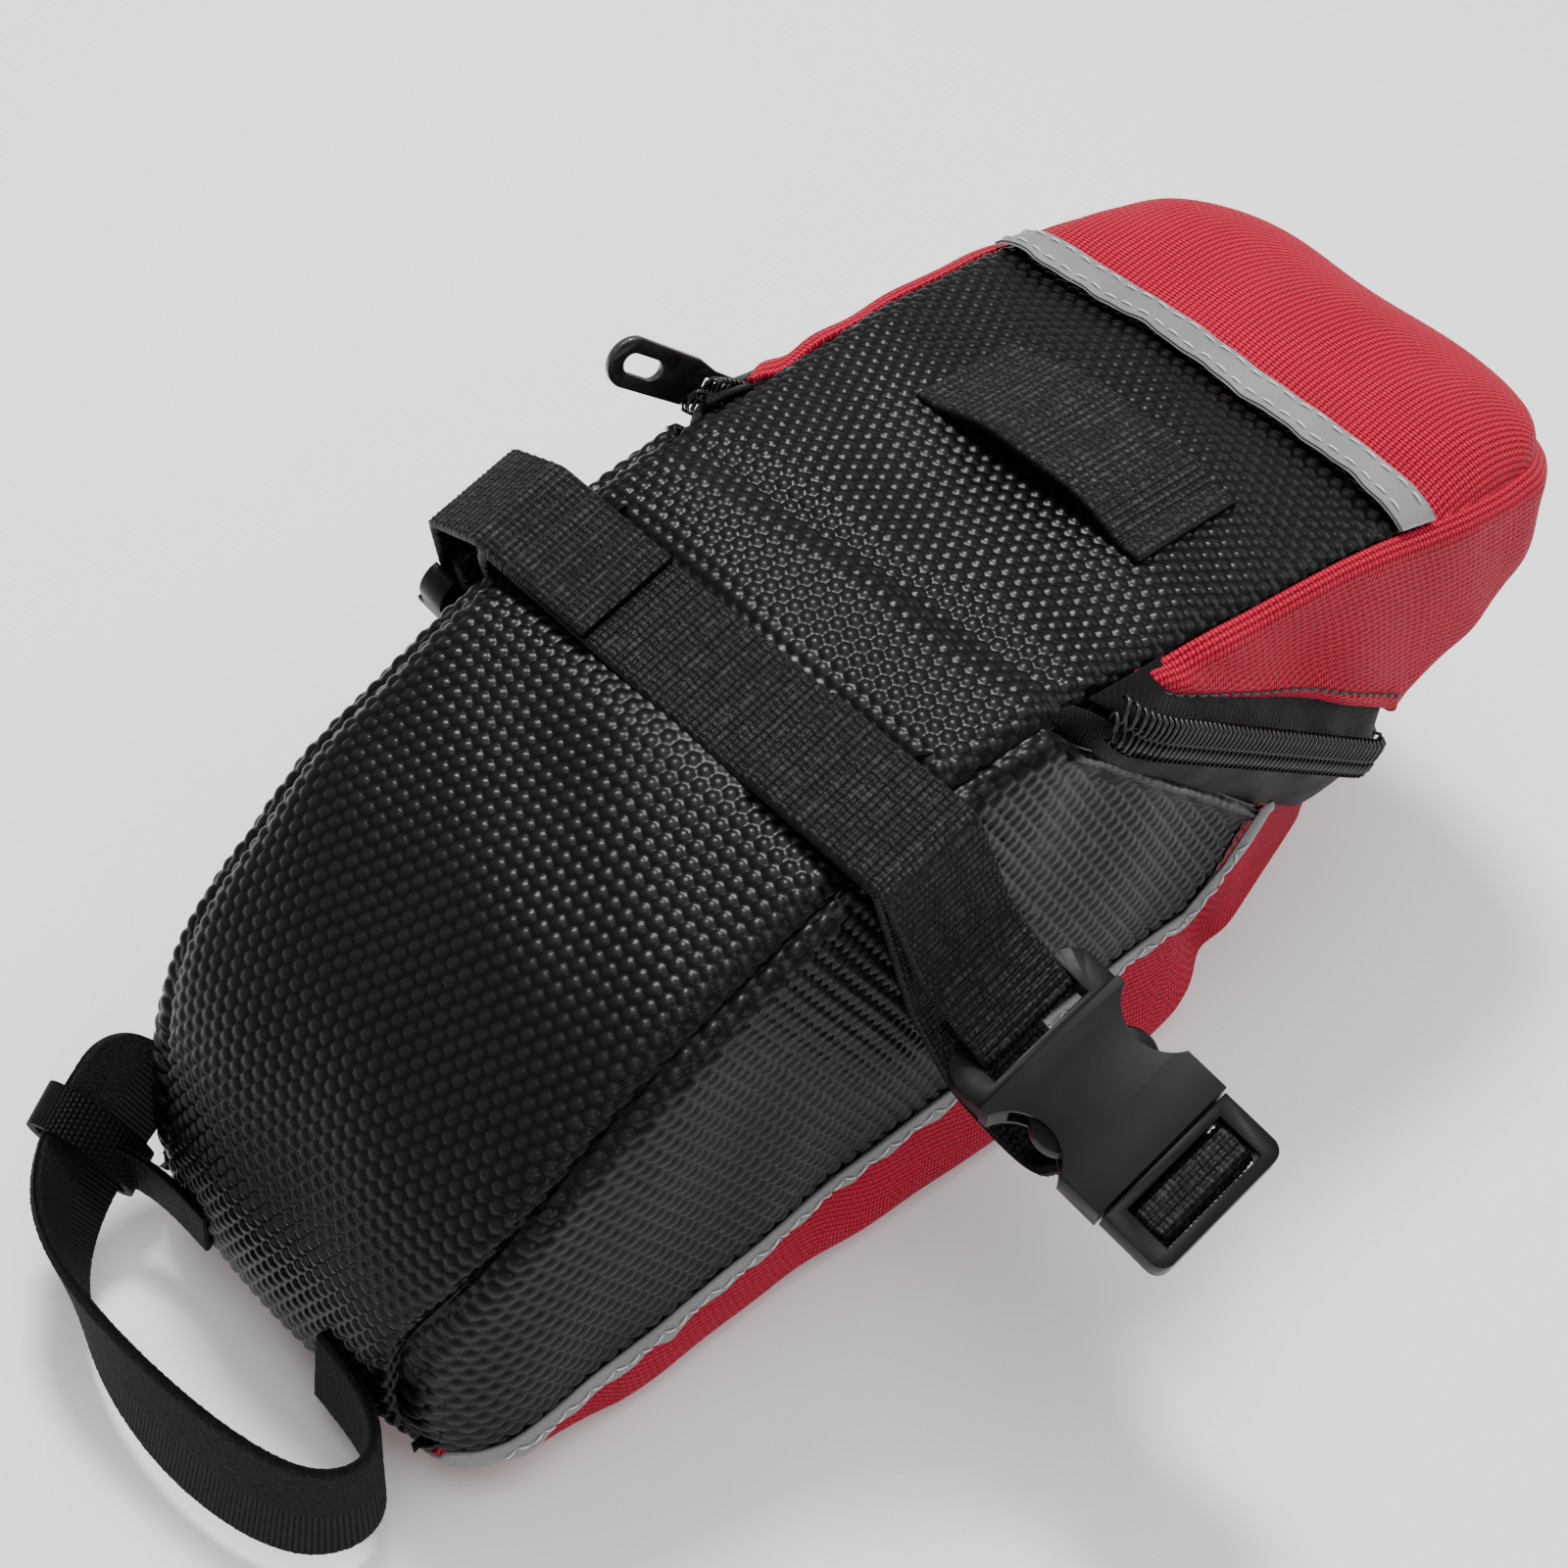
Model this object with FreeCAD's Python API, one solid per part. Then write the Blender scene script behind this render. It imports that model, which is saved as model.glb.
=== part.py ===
import FreeCAD, Part
import math
import os

# Saddle bag: a wedge of coated fabric under a bicycle saddle, with a hood that unzips.
# Millimetres. +Z up, the bag stands on its flat base. +Y runs from the seatpost end to the
# rear of the hood. X = 0 is the middle. The origin is on the base, under the rail strap.

Vector = FreeCAD.Vector
os.makedirs("parts", exist_ok=True)

# ---- bag body -----------------------------------------------------------------------------
wall = 1.8                  # laminated fabric, foam and lining together
top_radius = 4.0            # rounding where a side meets the top
bottom_radius = 5.0         # rounding where a side meets the base
seam_inset = 2.4            # the side panels wrap this far over the top edge
flare_start = 23.0          # from here to the rear the sides are straight and widen evenly
flare_half_width = 36.8
flare = 0.063               # widening of each side per millimetre of length


def straight_side(y):
    return flare_half_width + (y - flare_start) * flare


base_trim = -0.05           # the loft dips this far below the floor and is trimmed to a true flat

# Cross-sections from the seatpost end to the rear: y, underside z, top z, half width.
stations = [
    (-69.0, 14.0, 31.0, 27.0),
    (-66.0, 6.5, 40.0, 31.0),
    (-61.0, 2.5, 49.0, 33.6),
    (-54.0, 0.5, 56.5, 34.6),
    (-38.0, base_trim, 69.5, 35.2),
    (-13.0, base_trim, 83.0, 35.8),
    (8.0, base_trim, 91.0, 36.3),
    (23.0, base_trim, 93.4, straight_side(23)),
    (45.0, base_trim, 93.4, straight_side(45)),
    (60.0, base_trim, 93.4, straight_side(60)),
    (68.0, 3.0, 93.4, straight_side(68)),
    (78.0, 14.0, 93.4, straight_side(78)),
    (87.0, 32.0, 92.4, straight_side(87)),
    (94.0, 49.5, 91.0, straight_side(94)),
    (103.0, 54.8, 89.5, straight_side(103)),
    (114.0, 60.3, 88.3, 42.0),
    (124.0, 65.0, 86.3, 40.6),
    (132.0, 67.8, 83.9, 36.5),
    (138.0, 69.3, 81.2, 30.0),
    (141.0, 70.0, 79.0, 22.0),
]

# ---- opening --------------------------------------------------------------------------------
hinge_y = 28.0              # the hood folds back here
hinge_z = 93.4
mouth_angle = math.degrees(math.atan(0.66))   # the zip runs down towards the rear
hinge_gap = 0.6
coil_gap = 0.9              # between the two halves of the chain
coil_width = 3.0            # each half of the chain
coil_height = 1.6
tape_thickness = 0.9
hood_tape_width = 4.6       # from the mouth line to the hood's hem
lower_tape_width = 12.0     # from the mouth line down to the base fabric at the rear
zip_top = 90.6              # the chain's ends sit just under the top edge
hood_floor = 75.0           # between the hood's top and its underside
hood_panel_end = 96.0       # the dimpled panel stops here and the rear panel starts
gusset_end = 122.0
reflector_start = 90.5
reflector_width = 7.0
reflector_thickness = 0.6

# Line of the grey seam strip: base fabric below it, side panel above it.
seam_line = [(-66.5, 9.0), (62.0, 33.0), (68.5, 40.0), (73.5, 48.99)]
side_edge_start = (22.5, 93.8)   # the side panel's free edge along the zip
seam_strip_height = 4.0
seam_strip_thickness = 0.9

# ---- webbing --------------------------------------------------------------------------------
webbing_width = 16.0
webbing_thickness = 1.4
webbing_centre_y = -0.5
base_half_length = 31.0
upper_start = 15.0          # the upper layer is sewn on from here outwards
light_loop_width = 20.0
light_loop_centre = (3.0, 63.5)
light_loop_half_length = 20.0
light_loop_foot = 13.5      # the loop starts to rise this far from its middle
light_loop_flat = 6.5       # half length of its level top
light_loop_rise = 6.0

# ---- buckle ---------------------------------------------------------------------------------
ear_half = 12.2
waist_half = 8.0
mouth_half = 11.4
buckle_half_height = 3.5
socket_half_height = 2.3
socket_half_width = 9.9
socket_start = 7.0
mouth_start = 17.5
female_length = 24.0
male_length = 10.4
male_half = 11.0            # the male frame is a little narrower than the mouth
slot_in = 27.1              # middles of the male buckle's two slots, from the female bar
slot_out = 31.4
slot_width = 2.5
slot_half = 8.3
frame_half_height = 2.8     # the male buckle's frame
plug_start = 19.8           # the male buckle's plug fills the socket's mouth
plug_half_width = 9.4
plug_half_height = 1.9
guide_start = 9.5           # the guide between the prongs
guide_half = 1.5
ear_half_height = 2.2
bar_half_height = 0.8
part_gap = 0.3              # clearance between moving plastic pieces

# ---- zip slider -----------------------------------------------------------------------------
slider_y = 43.0
slider_length = 11.0
slider_half_width = 4.6
slider_plate = 1.1
pull_length = 22.0
pull_thickness = 1.1
bail_rise = 2.4             # height of the slider's bridge over its plate
bail_half_width = 0.8
pull_angle = 17.0           # how far the pull stands off the side

# ---- seatpost strap -------------------------------------------------------------------------
strap_width = 16.0
strap_thickness = 1.6
strap_bottom = 7.0
keeper_gap = 4.4            # inside the keeper, across the strap
keeper_centre = (-34.4, -76.5)
keeper_turn = 24.0
ring_wall = 1.2
ring_depth = 8.0
ring_reach = 2.0            # the ring stands this far past the strap, above and below
far = 200.0                 # larger than the bag, for cutting tools


def export(name, shape):
    shape.exportStep("parts/" + name + ".step")


def prism(points, plane, start, end):
    """Extrude a closed polygon drawn in the yz, xy or xz plane from start to end."""
    if plane == "yz":
        corners = [Vector(start, a, b) for a, b in points]
        direction = Vector(end - start, 0, 0)
    elif plane == "xy":
        corners = [Vector(a, b, start) for a, b in points]
        direction = Vector(0, 0, end - start)
    else:
        corners = [Vector(a, start, b) for a, b in points]
        direction = Vector(0, end - start, 0)
    return Part.Face(Part.makePolygon(corners + corners[:1])).extrude(direction)


def box(low, high):
    size = [high[i] - low[i] for i in range(3)]
    return Part.makeBox(size[0], size[1], size[2], Vector(*low))


def slope_factor(index, column):
    """How much an offset grows where the outline runs at a slope to the Y axis."""
    before = stations[max(index - 1, 0)]
    after = stations[min(index + 1, len(stations) - 1)]
    slope = (after[column] - before[column]) / (after[0] - before[0])
    return min(math.sqrt(1 + slope * slope), 1.9)


def section(y, z_low, z_high, half, radius_low, radius_high):
    """Closed cross-section with rounded corners, always built in the same order."""
    edges = []
    corners = [
        (half, z_low, radius_low, -90, 0),
        (half, z_high, radius_high, 0, 90),
        (-half, z_high, radius_high, 90, 180),
        (-half, z_low, radius_low, 180, 270),
    ]
    arcs = []
    for x, z, radius, start, end in corners:
        centre_x = x - radius if x > 0 else x + radius
        centre_z = z + radius if z == z_low else z - radius
        points = []
        for angle in (start, (start + end) / 2, end):
            turn = math.radians(angle)
            points.append(Vector(centre_x + radius * math.cos(turn), y,
                                 centre_z + radius * math.sin(turn)))
        arcs.append(points)
    for index, points in enumerate(arcs):
        edges.append(Part.Arc(*points).toShape())
        edges.append(Part.makeLine(points[2], arcs[(index + 1) % 4][0]))
    return Part.Wire(edges)


def bag_solid(offset):
    """The whole closed bag, grown outwards (or shrunk, if negative) by offset."""
    wires = []
    for index, (y, z_low, z_high, half) in enumerate(stations):
        if index == 0:
            y -= offset
        if index == len(stations) - 1:
            y += offset
        low = z_low - offset * slope_factor(index, 1)
        high = z_high + offset * slope_factor(index, 2)
        side = half + offset * slope_factor(index, 3)
        limit = (high - low) / 2 - 0.2
        radius_low = min(max(bottom_radius + offset, 0.6), limit)
        radius_high = min(max(top_radius + offset, 0.6), limit)
        wires.append(section(y, low, high, side, radius_low, radius_high))
    return Part.makeLoft(wires, True, True)


def skin(inner, outer):
    return bag_solid(outer).cut(bag_solid(inner))


def single(shape):
    """The largest solid of a shape, with its split faces joined up."""
    solid = max(shape.Solids, key=lambda piece: piece.Volume)
    joined = solid.removeSplitter()
    return joined if joined.isValid() else solid


mouth = math.radians(mouth_angle)
zip_direction = Vector(0, math.cos(mouth), -math.sin(mouth))
mouth_normal = Vector(0, math.sin(mouth), math.cos(mouth))
hinge = Vector(0, hinge_y, hinge_z)


def mouth_slab(low, high):
    """Everything between two planes parallel to the mouth, measured up from it."""
    corners = []
    for along, across in ((-far, low), (far, low), (far, high), (-far, high)):
        point = hinge + zip_direction * along + mouth_normal * across
        corners.append((point.y, point.z))
    return prism(corners, "yz", -far, far)


def middle_zone(inset):
    """Plan area between the two side walls, as a tall prism."""
    right = [(half - inset, y) for y, low, high, half in stations]
    first = (right[0][0], -far)
    last = (right[-1][0], far)
    outline = [first] + right + [last]
    mirrored = [(-x, y) for x, y in reversed(outline)]
    return prism(outline + mirrored, "xy", -far, far)


def half_space(sign):
    if sign > 0:
        return box((0, -far, -far), (far, far, far))
    return box((-far, -far, -far), (0, far, far))


shell = skin(-wall, 0.0)
middle = middle_zone(seam_inset)
below_seam = prism(seam_line + [(far, seam_line[-1][1]), (far, -far), (-far, -far), (-far, 9.0)], "yz", -far, far)
front_of_hinge = box((-far, -far, -far), (far, hinge_y - hinge_gap / 2, far))
rear_of_hinge = box((-far, hinge_y + hinge_gap / 2, -far), (far, far, far))
side_edge_end = seam_line[-1]
front_of_side_edge = prism([side_edge_start, side_edge_end, (side_edge_end[0], -far), (-far, -far),
                            (-far, far), (side_edge_start[0], far)], "yz", -far, far)
half_gap = coil_gap / 2


def strip(points, thickness, low, high):
    """A bent strip: its centre line is drawn in the xz plane as (x, z, bend radius)."""
    path = [Vector(x, 0, z) for x, z, radius in points]
    side_points = {1: [], -1: []}
    for side in (1, -1):
        pieces = []
        for index in range(len(path)):
            if index in (0, len(path) - 1):
                inner = path[1] - path[0] if index == 0 else path[-1] - path[-2]
                across = Vector(-inner.z, 0, inner.x).normalize()
                pieces.append((path[index] + across * (side * thickness / 2),))
                continue
            before = (path[index] - path[index - 1]).normalize()
            after = (path[index + 1] - path[index]).normalize()
            turn = before.x * after.z - before.z * after.x
            hand = 1 if turn > 0 else -1
            half_turn = math.acos(max(-1, min(1, before.dot(after)))) / 2
            radius = points[index][2]
            reach = radius * math.tan(half_turn)
            first = path[index] - before * reach
            last = path[index] + after * reach
            across_first = Vector(-before.z, 0, before.x)
            across_last = Vector(-after.z, 0, after.x)
            centre = first + across_first * (radius * hand)
            outwards = (path[index] - centre).normalize()
            middle_point = centre + outwards * (radius - side * hand * thickness / 2)
            pieces.append((first + across_first * (side * thickness / 2), middle_point,
                           last + across_last * (side * thickness / 2)))
        side_points[side] = pieces
    edges = []
    for side in (1, -1):
        pieces = side_points[side]
        for index, piece in enumerate(pieces):
            if len(piece) == 3:
                edges.append(Part.Arc(*piece).toShape())
            if index + 1 < len(pieces):
                edges.append(Part.makeLine(piece[-1], pieces[index + 1][0]))
    edges.append(Part.makeLine(side_points[1][0][0], side_points[-1][0][0]))
    edges.append(Part.makeLine(side_points[1][-1][0], side_points[-1][-1][0]))
    face = Part.Face(Part.Wire(Part.__sortEdges__(edges)))
    face.translate(Vector(0, low, 0))
    return face.extrude(Vector(0, high - low, 0))


# ---- body panels ----------------------------------------------------------------------------
top_panel = shell.common(middle).common(front_of_hinge).cut(below_seam)
export("top_panel", single(top_panel))
lower_panel = shell.common(below_seam).common(mouth_slab(-far, -lower_tape_width))
lower_panel = lower_panel.cut(box((-far, -far, -far), (far, far, 0)))
export("lower_panel", single(lower_panel))
side_region = shell.cut(middle).cut(below_seam).common(front_of_side_edge)
for name, sign in (("right", 1), ("left", -1)):
    export("side_panel_" + name, single(side_region.common(half_space(sign))))

seam_band = prism(seam_line + [(y, z - seam_strip_height) for y, z in reversed(seam_line)], "yz", -far, far)
seam_strips = skin(0.0, seam_strip_thickness).cut(middle).common(seam_band)
for name, sign in (("right", 1), ("left", -1)):
    export("seam_strip_" + name, single(seam_strips.common(half_space(sign))))

# ---- zip ------------------------------------------------------------------------------------
zip_zone = box((-far, hinge_y, -far), (far, far, zip_top)).cut(
    middle.common(box((-far, -far, -far), (far, 85, far))))
tape_skin = skin(-tape_thickness, 0.0).common(zip_zone)
coil_skin = skin(0.0, coil_height).common(zip_zone)
body_tape = tape_skin.common(mouth_slab(-lower_tape_width, -half_gap)).cut(front_of_side_edge)
export("zip_tape_body", single(body_tape))
export("zip_tape_hood", single(tape_skin.common(mouth_slab(half_gap, hood_tape_width))))
export("zip_coil_body", single(coil_skin.common(mouth_slab(-half_gap - coil_width, -half_gap))))
export("zip_coil_hood", single(coil_skin.common(mouth_slab(half_gap, half_gap + coil_width))))

# ---- hood -----------------------------------------------------------------------------------
hood_shell = shell.common(rear_of_hinge)
corner_end = hinge_y + hood_tape_width / math.sin(mouth)
corner_zone = mouth_slab(half_gap, far).common(box((-far, hinge_y, zip_top), (far, corner_end, far)))
hood_panel = hood_shell.common(middle.fuse(corner_zone)).common(
    box((-far, -far, hood_floor), (far, hood_panel_end, far)))
export("hood_panel", single(hood_panel))
above_hem = mouth_slab(hood_tape_width, far)
hood_sides = hood_shell.cut(middle).cut(corner_zone).common(above_hem).common(
    box((-far, -far, -far), (far, gusset_end, far)))
for name, sign in (("right", 1), ("left", -1)):
    export("hood_gusset_" + name, single(hood_sides.common(half_space(sign))))
rear_zone = middle.common(box((-far, hood_panel_end, -far), (far, far, far))).fuse(
    box((-far, gusset_end, -far), (far, far, far)))
export("rear_panel", single(hood_shell.common(above_hem).common(rear_zone)))
reflector = skin(0.0, reflector_thickness).common(middle_zone(seam_inset / 2)).common(
    box((-far, reflector_start, hood_floor), (far, reflector_start + reflector_width, far)))
export("reflector", single(reflector))

loop_x, loop_y = light_loop_centre
loop_low = hinge_z + webbing_thickness / 2
loop_high = loop_low + light_loop_rise
light_loop_path = [
    (loop_x - light_loop_half_length, loop_low, 0),
    (loop_x - light_loop_foot, loop_low, 4),
    (loop_x - light_loop_flat, loop_high, 8),
    (loop_x + light_loop_flat, loop_high, 8),
    (loop_x + light_loop_foot, loop_low, 4),
    (loop_x + light_loop_half_length, loop_low, 0),
]
export("light_loop", strip(light_loop_path, webbing_thickness,
                           loop_y - light_loop_width / 2, loop_y + light_loop_width / 2))

# ---- rail strap -----------------------------------------------------------------------------
# Drawn flat (x outwards, z off the fabric), then laid on the sloping top at the crest.
below, above = stations[5], stations[6]
strap_slope = math.degrees(math.atan2(above[2] - below[2], above[0] - below[0]))
strap_height = below[2] + (webbing_centre_y - below[0]) * math.tan(math.radians(strap_slope))
on_crest = FreeCAD.Placement(Vector(0, webbing_centre_y, strap_height),
                             FreeCAD.Rotation(Vector(1, 0, 0), strap_slope))


class Arm:
    """One end of the rail strap: where its buckle sits and which way it points."""

    def __init__(self, sign, x, z, droop):
        self.sign = sign
        self.tilt = FreeCAD.Placement(Vector(x, 0, z), FreeCAD.Rotation(Vector(0, 1, 0), droop))

    def flat(self, along, up):
        """A point of the buckle's own frame, in the strap's flat frame."""
        return self.tilt.multVec(Vector(along, 0, up))

    def mirror(self, shape):
        if self.sign > 0:
            return shape
        return shape.mirror(Vector(0, 0, 0), Vector(1, 0, 0))

    def place_strap(self, shape):
        placed = self.mirror(shape)
        placed.Placement = on_crest.multiply(placed.Placement)
        return placed

    def place_buckle(self, shape):
        moved = shape.copy()
        moved.Placement = self.tilt.multiply(moved.Placement)
        return self.place_strap(moved)

    def world(self, along, across, up):
        point = self.tilt.multVec(Vector(along, across, up))
        return on_crest.multVec(Vector(point.x * self.sign, point.y, point.z))

    def direction(self, along, across, up):
        return self.world(along, across, up) - self.world(0, 0, 0)


half_webbing = webbing_width / 2
layer_1 = webbing_thickness / 2
layer_2 = webbing_thickness * 1.5
strap_base = box((-base_half_length, -half_webbing, 0), (base_half_length, half_webbing, webbing_thickness))
strap_base.Placement = on_crest
export("strap_base", strap_base)

right_arm = Arm(1, 51.0, -29.0, 12)
left_arm = Arm(-1, 51.0, -21.0, 79)
fold = 2.15                 # from the middle of the female buckle's bar to the webbing round it
fold_radius = 1.8


def upper_webbing(arm, bends):
    """From the sewn step on top, out to the buckle, round its bar and back under itself."""
    over = arm.flat(fold - 1.3, fold)
    under = arm.flat(fold - 1.3, -fold)
    end = arm.flat(-7, -2)
    path = [(upper_start, layer_2, 0)] + bends + [
        (over.x, over.z, fold_radius), (under.x, under.z, fold_radius), (end.x, end.z, 0)]
    return strip(path, webbing_thickness, -half_webbing, half_webbing)


def lower_webbing(arm, bends):
    """From the end of the base layer, hanging below, out to the male buckle."""
    tail = arm.flat(slot_in - 6.6, -8)
    entry = arm.flat(slot_in, -6)
    before = tail + (tail - entry).normalize() * 5
    path = [(base_half_length, layer_1, 0)] + bends + [(before.x, before.z, 6), (tail.x, tail.z, 0)]
    return strip(path, webbing_thickness, -half_webbing, half_webbing)


def adjuster_webbing(arm):
    """Up through the male buckle's first slot, over its middle bar, down the second."""
    path = [(slot_in - 6.6, -8, 0), (slot_in, -6, 2), (slot_in, 1.9, 1.2), (slot_out, 1.9, 1.2),
            (slot_out, -6, 3), (slot_in + 0.6, -10.5, 0)]
    return strip(path, webbing_thickness, -half_webbing, half_webbing)


def plate(points, low, high):
    """Closed outline in the xy plane; an entry ending in "arc" is the middle of an arc."""
    edges = []
    count = len(points)
    index = 0
    while index < count:
        here = points[index]
        following = points[(index + 1) % count]
        if len(following) == 3:
            last = points[(index + 2) % count]
            edges.append(Part.Arc(Vector(here[0], here[1], low), Vector(following[0], following[1], low),
                                  Vector(last[0], last[1], low)).toShape())
            index += 2
        else:
            edges.append(Part.makeLine(Vector(here[0], here[1], low), Vector(following[0], following[1], low)))
            index += 1
    return Part.Face(Part.Wire(edges)).extrude(Vector(0, 0, high - low))


def female_buckle():
    ears = plate([(-3, -9.5), (-1.6, -11.4, "arc"), (1, -ear_half), (6, -ear_half), (6, ear_half), (1, ear_half),
                  (-1.6, 11.4, "arc"), (-3, 9.5)],
                 -ear_half_height, ear_half_height)
    ears = ears.cut(box((-4, -slot_half, -5), (3.4, slot_half, 5)))
    bar = box((-2.1, -slot_half - 0.5, -bar_half_height), (-0.5, slot_half + 0.5, bar_half_height))
    body = plate([(4.6, -ear_half), (6, -ear_half), (11.5, -waist_half, "arc"), (mouth_start, -mouth_half),
                  (female_length, -mouth_half), (female_length, mouth_half), (mouth_start, mouth_half),
                  (11.5, waist_half, "arc"), (6, ear_half), (4.6, ear_half)],
                 -buckle_half_height, buckle_half_height)
    socket = box((socket_start, -socket_half_width, -socket_half_height),
                 (female_length + 1, socket_half_width, socket_half_height))
    return single(body.cut(socket).fuse(ears).fuse(bar))


def male_buckle():
    start = female_length + part_gap
    end = female_length + male_length
    frame = plate([(start, -male_half), (end - 2, -male_half), (end - 0.6, -male_half + 0.6, "arc"),
                   (end, -male_half + 2), (end, male_half - 2), (end - 0.6, male_half - 0.6, "arc"),
                   (end - 2, male_half), (start, male_half)], -frame_half_height, frame_half_height)
    for middle_of_slot in (slot_in, slot_out):
        frame = frame.cut(box((middle_of_slot - slot_width / 2, -slot_half, -4),
                              (middle_of_slot + slot_width / 2, slot_half, 4)))
    frame = frame.cut(box((slot_in, -slot_half, 1.1), (slot_out, slot_half, 4)))
    plug = box((plug_start, -plug_half_width, -plug_half_height),
               (start + 0.5, plug_half_width, plug_half_height))
    guide = box((guide_start, -guide_half, -guide_half), (plug_start + 0.7, guide_half, guide_half))
    return single(frame.fuse(plug).fuse(guide))


def prong(sign):
    """One sprung arm: its bump is the press button that shows at the buckle's waist."""
    outline = [(19.5, 6.4), (19.5, 8.6), (15.8, 8.4), (12.6, 9.9, "arc"), (9.0, 7.6), (9.6, 5.6), (12.5, 6.2)]
    return plate([(entry[0], entry[1] * sign) + tuple(entry[2:]) for entry in outline],
                 -plug_half_height, plug_half_height)


arms = (
    ("right", right_arm, [(39.6, layer_2, 3), (43.0, -18.0, 8)],
     [(37.7, layer_1, 1.4), (37.9, -33.0, 12), (43.0, -52.0, 8), (57.0, -58.0, 10)]),
    ("left", left_arm, [(36.5, layer_2, 4), (49.5, -6.0, 5)],
     [(35.9, layer_1, 1.5), (38.0, -4.0, 5), (38.6, -22.0, 20), (39.2, -34.0, 8)]),
)
for name, arm, upper_bends, lower_bends in arms:
    export("strap_upper_" + name, arm.place_strap(upper_webbing(arm, upper_bends)))
    export("strap_lower_" + name, arm.place_strap(lower_webbing(arm, lower_bends)))
    export("strap_adjuster_" + name, arm.place_buckle(adjuster_webbing(arm)))
    export("buckle_female_" + name, arm.place_buckle(female_buckle()))
    export("buckle_male_" + name, arm.place_buckle(male_buckle()))
    for side, sign in (("front", -1), ("rear", 1)):
        export("prong_" + name + "_" + side, arm.place_buckle(prong(sign)))
        print("prong", name, side, arm.world(19.5, 7.5 * sign, 0), arm.direction(0, 0, 1))
    print("slide", name, arm.direction(1, 0, 0))

# ---- slider and pull ------------------------------------------------------------------------
# Own frame: x along the zip away from its closed end, y across it, z off the left side.
outward = Vector(-1, -flare, 0).normalize()
along_zip = outward.cross(mouth_normal)
if along_zip.y < 0:
    along_zip = along_zip * -1
along_zip.normalize()
across_zip = outward.cross(along_zip)
slider_point = Vector(-straight_side(slider_y), slider_y,
                      hinge_z - (slider_y - hinge_y) * math.tan(mouth))
matrix = FreeCAD.Matrix(along_zip.x, across_zip.x, outward.x, slider_point.x,
                        along_zip.y, across_zip.y, outward.y, slider_point.y,
                        along_zip.z, across_zip.z, outward.z, slider_point.z)
on_zip = FreeCAD.Placement(matrix)
plate_low = coil_height + part_gap
plate_high = plate_low + slider_plate
inner_high = -wall - 0.4
half_length = slider_length / 2


def slider_plate_shape(low, high):
    return plate([(-half_length, -2.6), (-half_length - 0.6, 0, "arc"), (-half_length, 2.6),
                  (-1.0, slider_half_width), (half_length, slider_half_width - 0.6),
                  (half_length, -slider_half_width + 0.6), (-1.0, -slider_half_width)], low, high)


slider = slider_plate_shape(plate_low, plate_high).fuse(slider_plate_shape(inner_high - slider_plate, inner_high))
slider = slider.fuse(box((-4.8, -0.25, inner_high - 0.1), (-1.5, 0.25, plate_low + 0.1)))
bail = [(-4.4, plate_high - 0.2, 0), (-4.4, plate_high + bail_rise, 1.6), (3.4, plate_high + bail_rise, 1.6),
        (3.4, plate_high - 0.2, 0)]
slider = single(slider.fuse(strip(bail, 1.1, -bail_half_width, bail_half_width)))
slider.Placement = on_zip
export("zip_slider", slider)

pivot = Vector(-2.4, 0, plate_high + 1.1)
pull = plate([(-0.8, -2.4), (-0.8, 2.4), (4.0, 2.6), (7.5, 3.6), (pull_length - 3.6, 3.8),
              (pull_length, 0, "arc"), (pull_length - 3.6, -3.8), (7.5, -3.6), (4.0, -2.6)],
             -pull_thickness / 2, pull_thickness / 2)
pull = pull.cut(box((0.6, -1.3, -2), (5.2, 1.3, 2)))
hole = plate([(14.5, -1.5), (13.0, 0, "arc"), (14.5, 1.5), (18.0, 1.5), (19.5, 0, "arc"), (18.0, -1.5)], -2, 2)
pull = single(pull.cut(hole))
lean = FreeCAD.Placement(pivot, FreeCAD.Rotation(Vector(0, 1, 0), 180 + pull_angle))
pull.Placement = on_zip.multiply(lean)
export("zip_pull", pull)
print("pivot", on_zip.multVec(pivot), "axis", across_zip, "slide", along_zip)

# ---- seatpost strap -------------------------------------------------------------------------
# Drawn in plan: sewn to the front at the right, round in front, past the left corner.
strap_path = [
    (4.0, -69.8, 0), (20.0, -69.8, 3), (28.5, -76.0, 6), (24.0, -86.0, 10), (6.0, -90.5, 18), (-16.0, -91.0, 18),
    (-30.0, -85.5, 14), (-36.5, -73.0, 22), (-40.0, -60.0, 0),
]
strap = strip(strap_path, strap_thickness, -strap_width, 0)
strap.Placement = FreeCAD.Placement(Vector(0, 0, strap_bottom), FreeCAD.Rotation(Vector(1, 0, 0), -90))
export("seatpost_strap", strap)

# The keeper is a flat ring round the strap with a tab sewn to the front.
ring = box((-keeper_gap / 2 - ring_wall, -ring_depth / 2, strap_bottom - ring_reach),
           (keeper_gap / 2 + ring_wall, ring_depth / 2, strap_bottom + strap_width + ring_reach))
ring = ring.cut(box((-keeper_gap / 2, -far, strap_bottom - ring_reach + ring_wall),
                    (keeper_gap / 2, far, strap_bottom + strap_width + ring_reach - ring_wall)))
ring.Placement = FreeCAD.Placement(Vector(*keeper_centre, 0), FreeCAD.Rotation(Vector(0, 0, 1), keeper_turn))
tab_start = ring.Placement.multVec(Vector(keeper_gap / 2 + ring_wall - 0.1, 0, 0))
tab = strip([(tab_start.x, tab_start.y, 0), (-24.5, -70.4, 6), (-19.0, -69.6, 8), (-10.0, -69.6, 0)],
            ring_wall, -ring_depth, 0)
tab.Placement = FreeCAD.Placement(Vector(0, 0, strap_bottom + (strap_width - ring_depth) / 2),
                                  FreeCAD.Rotation(Vector(1, 0, 0), -90))
export("strap_keeper", single(ring.fuse(tab)))
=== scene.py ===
import math
import bpy
import numpy as np
from mathutils import Matrix, Vector


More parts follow.
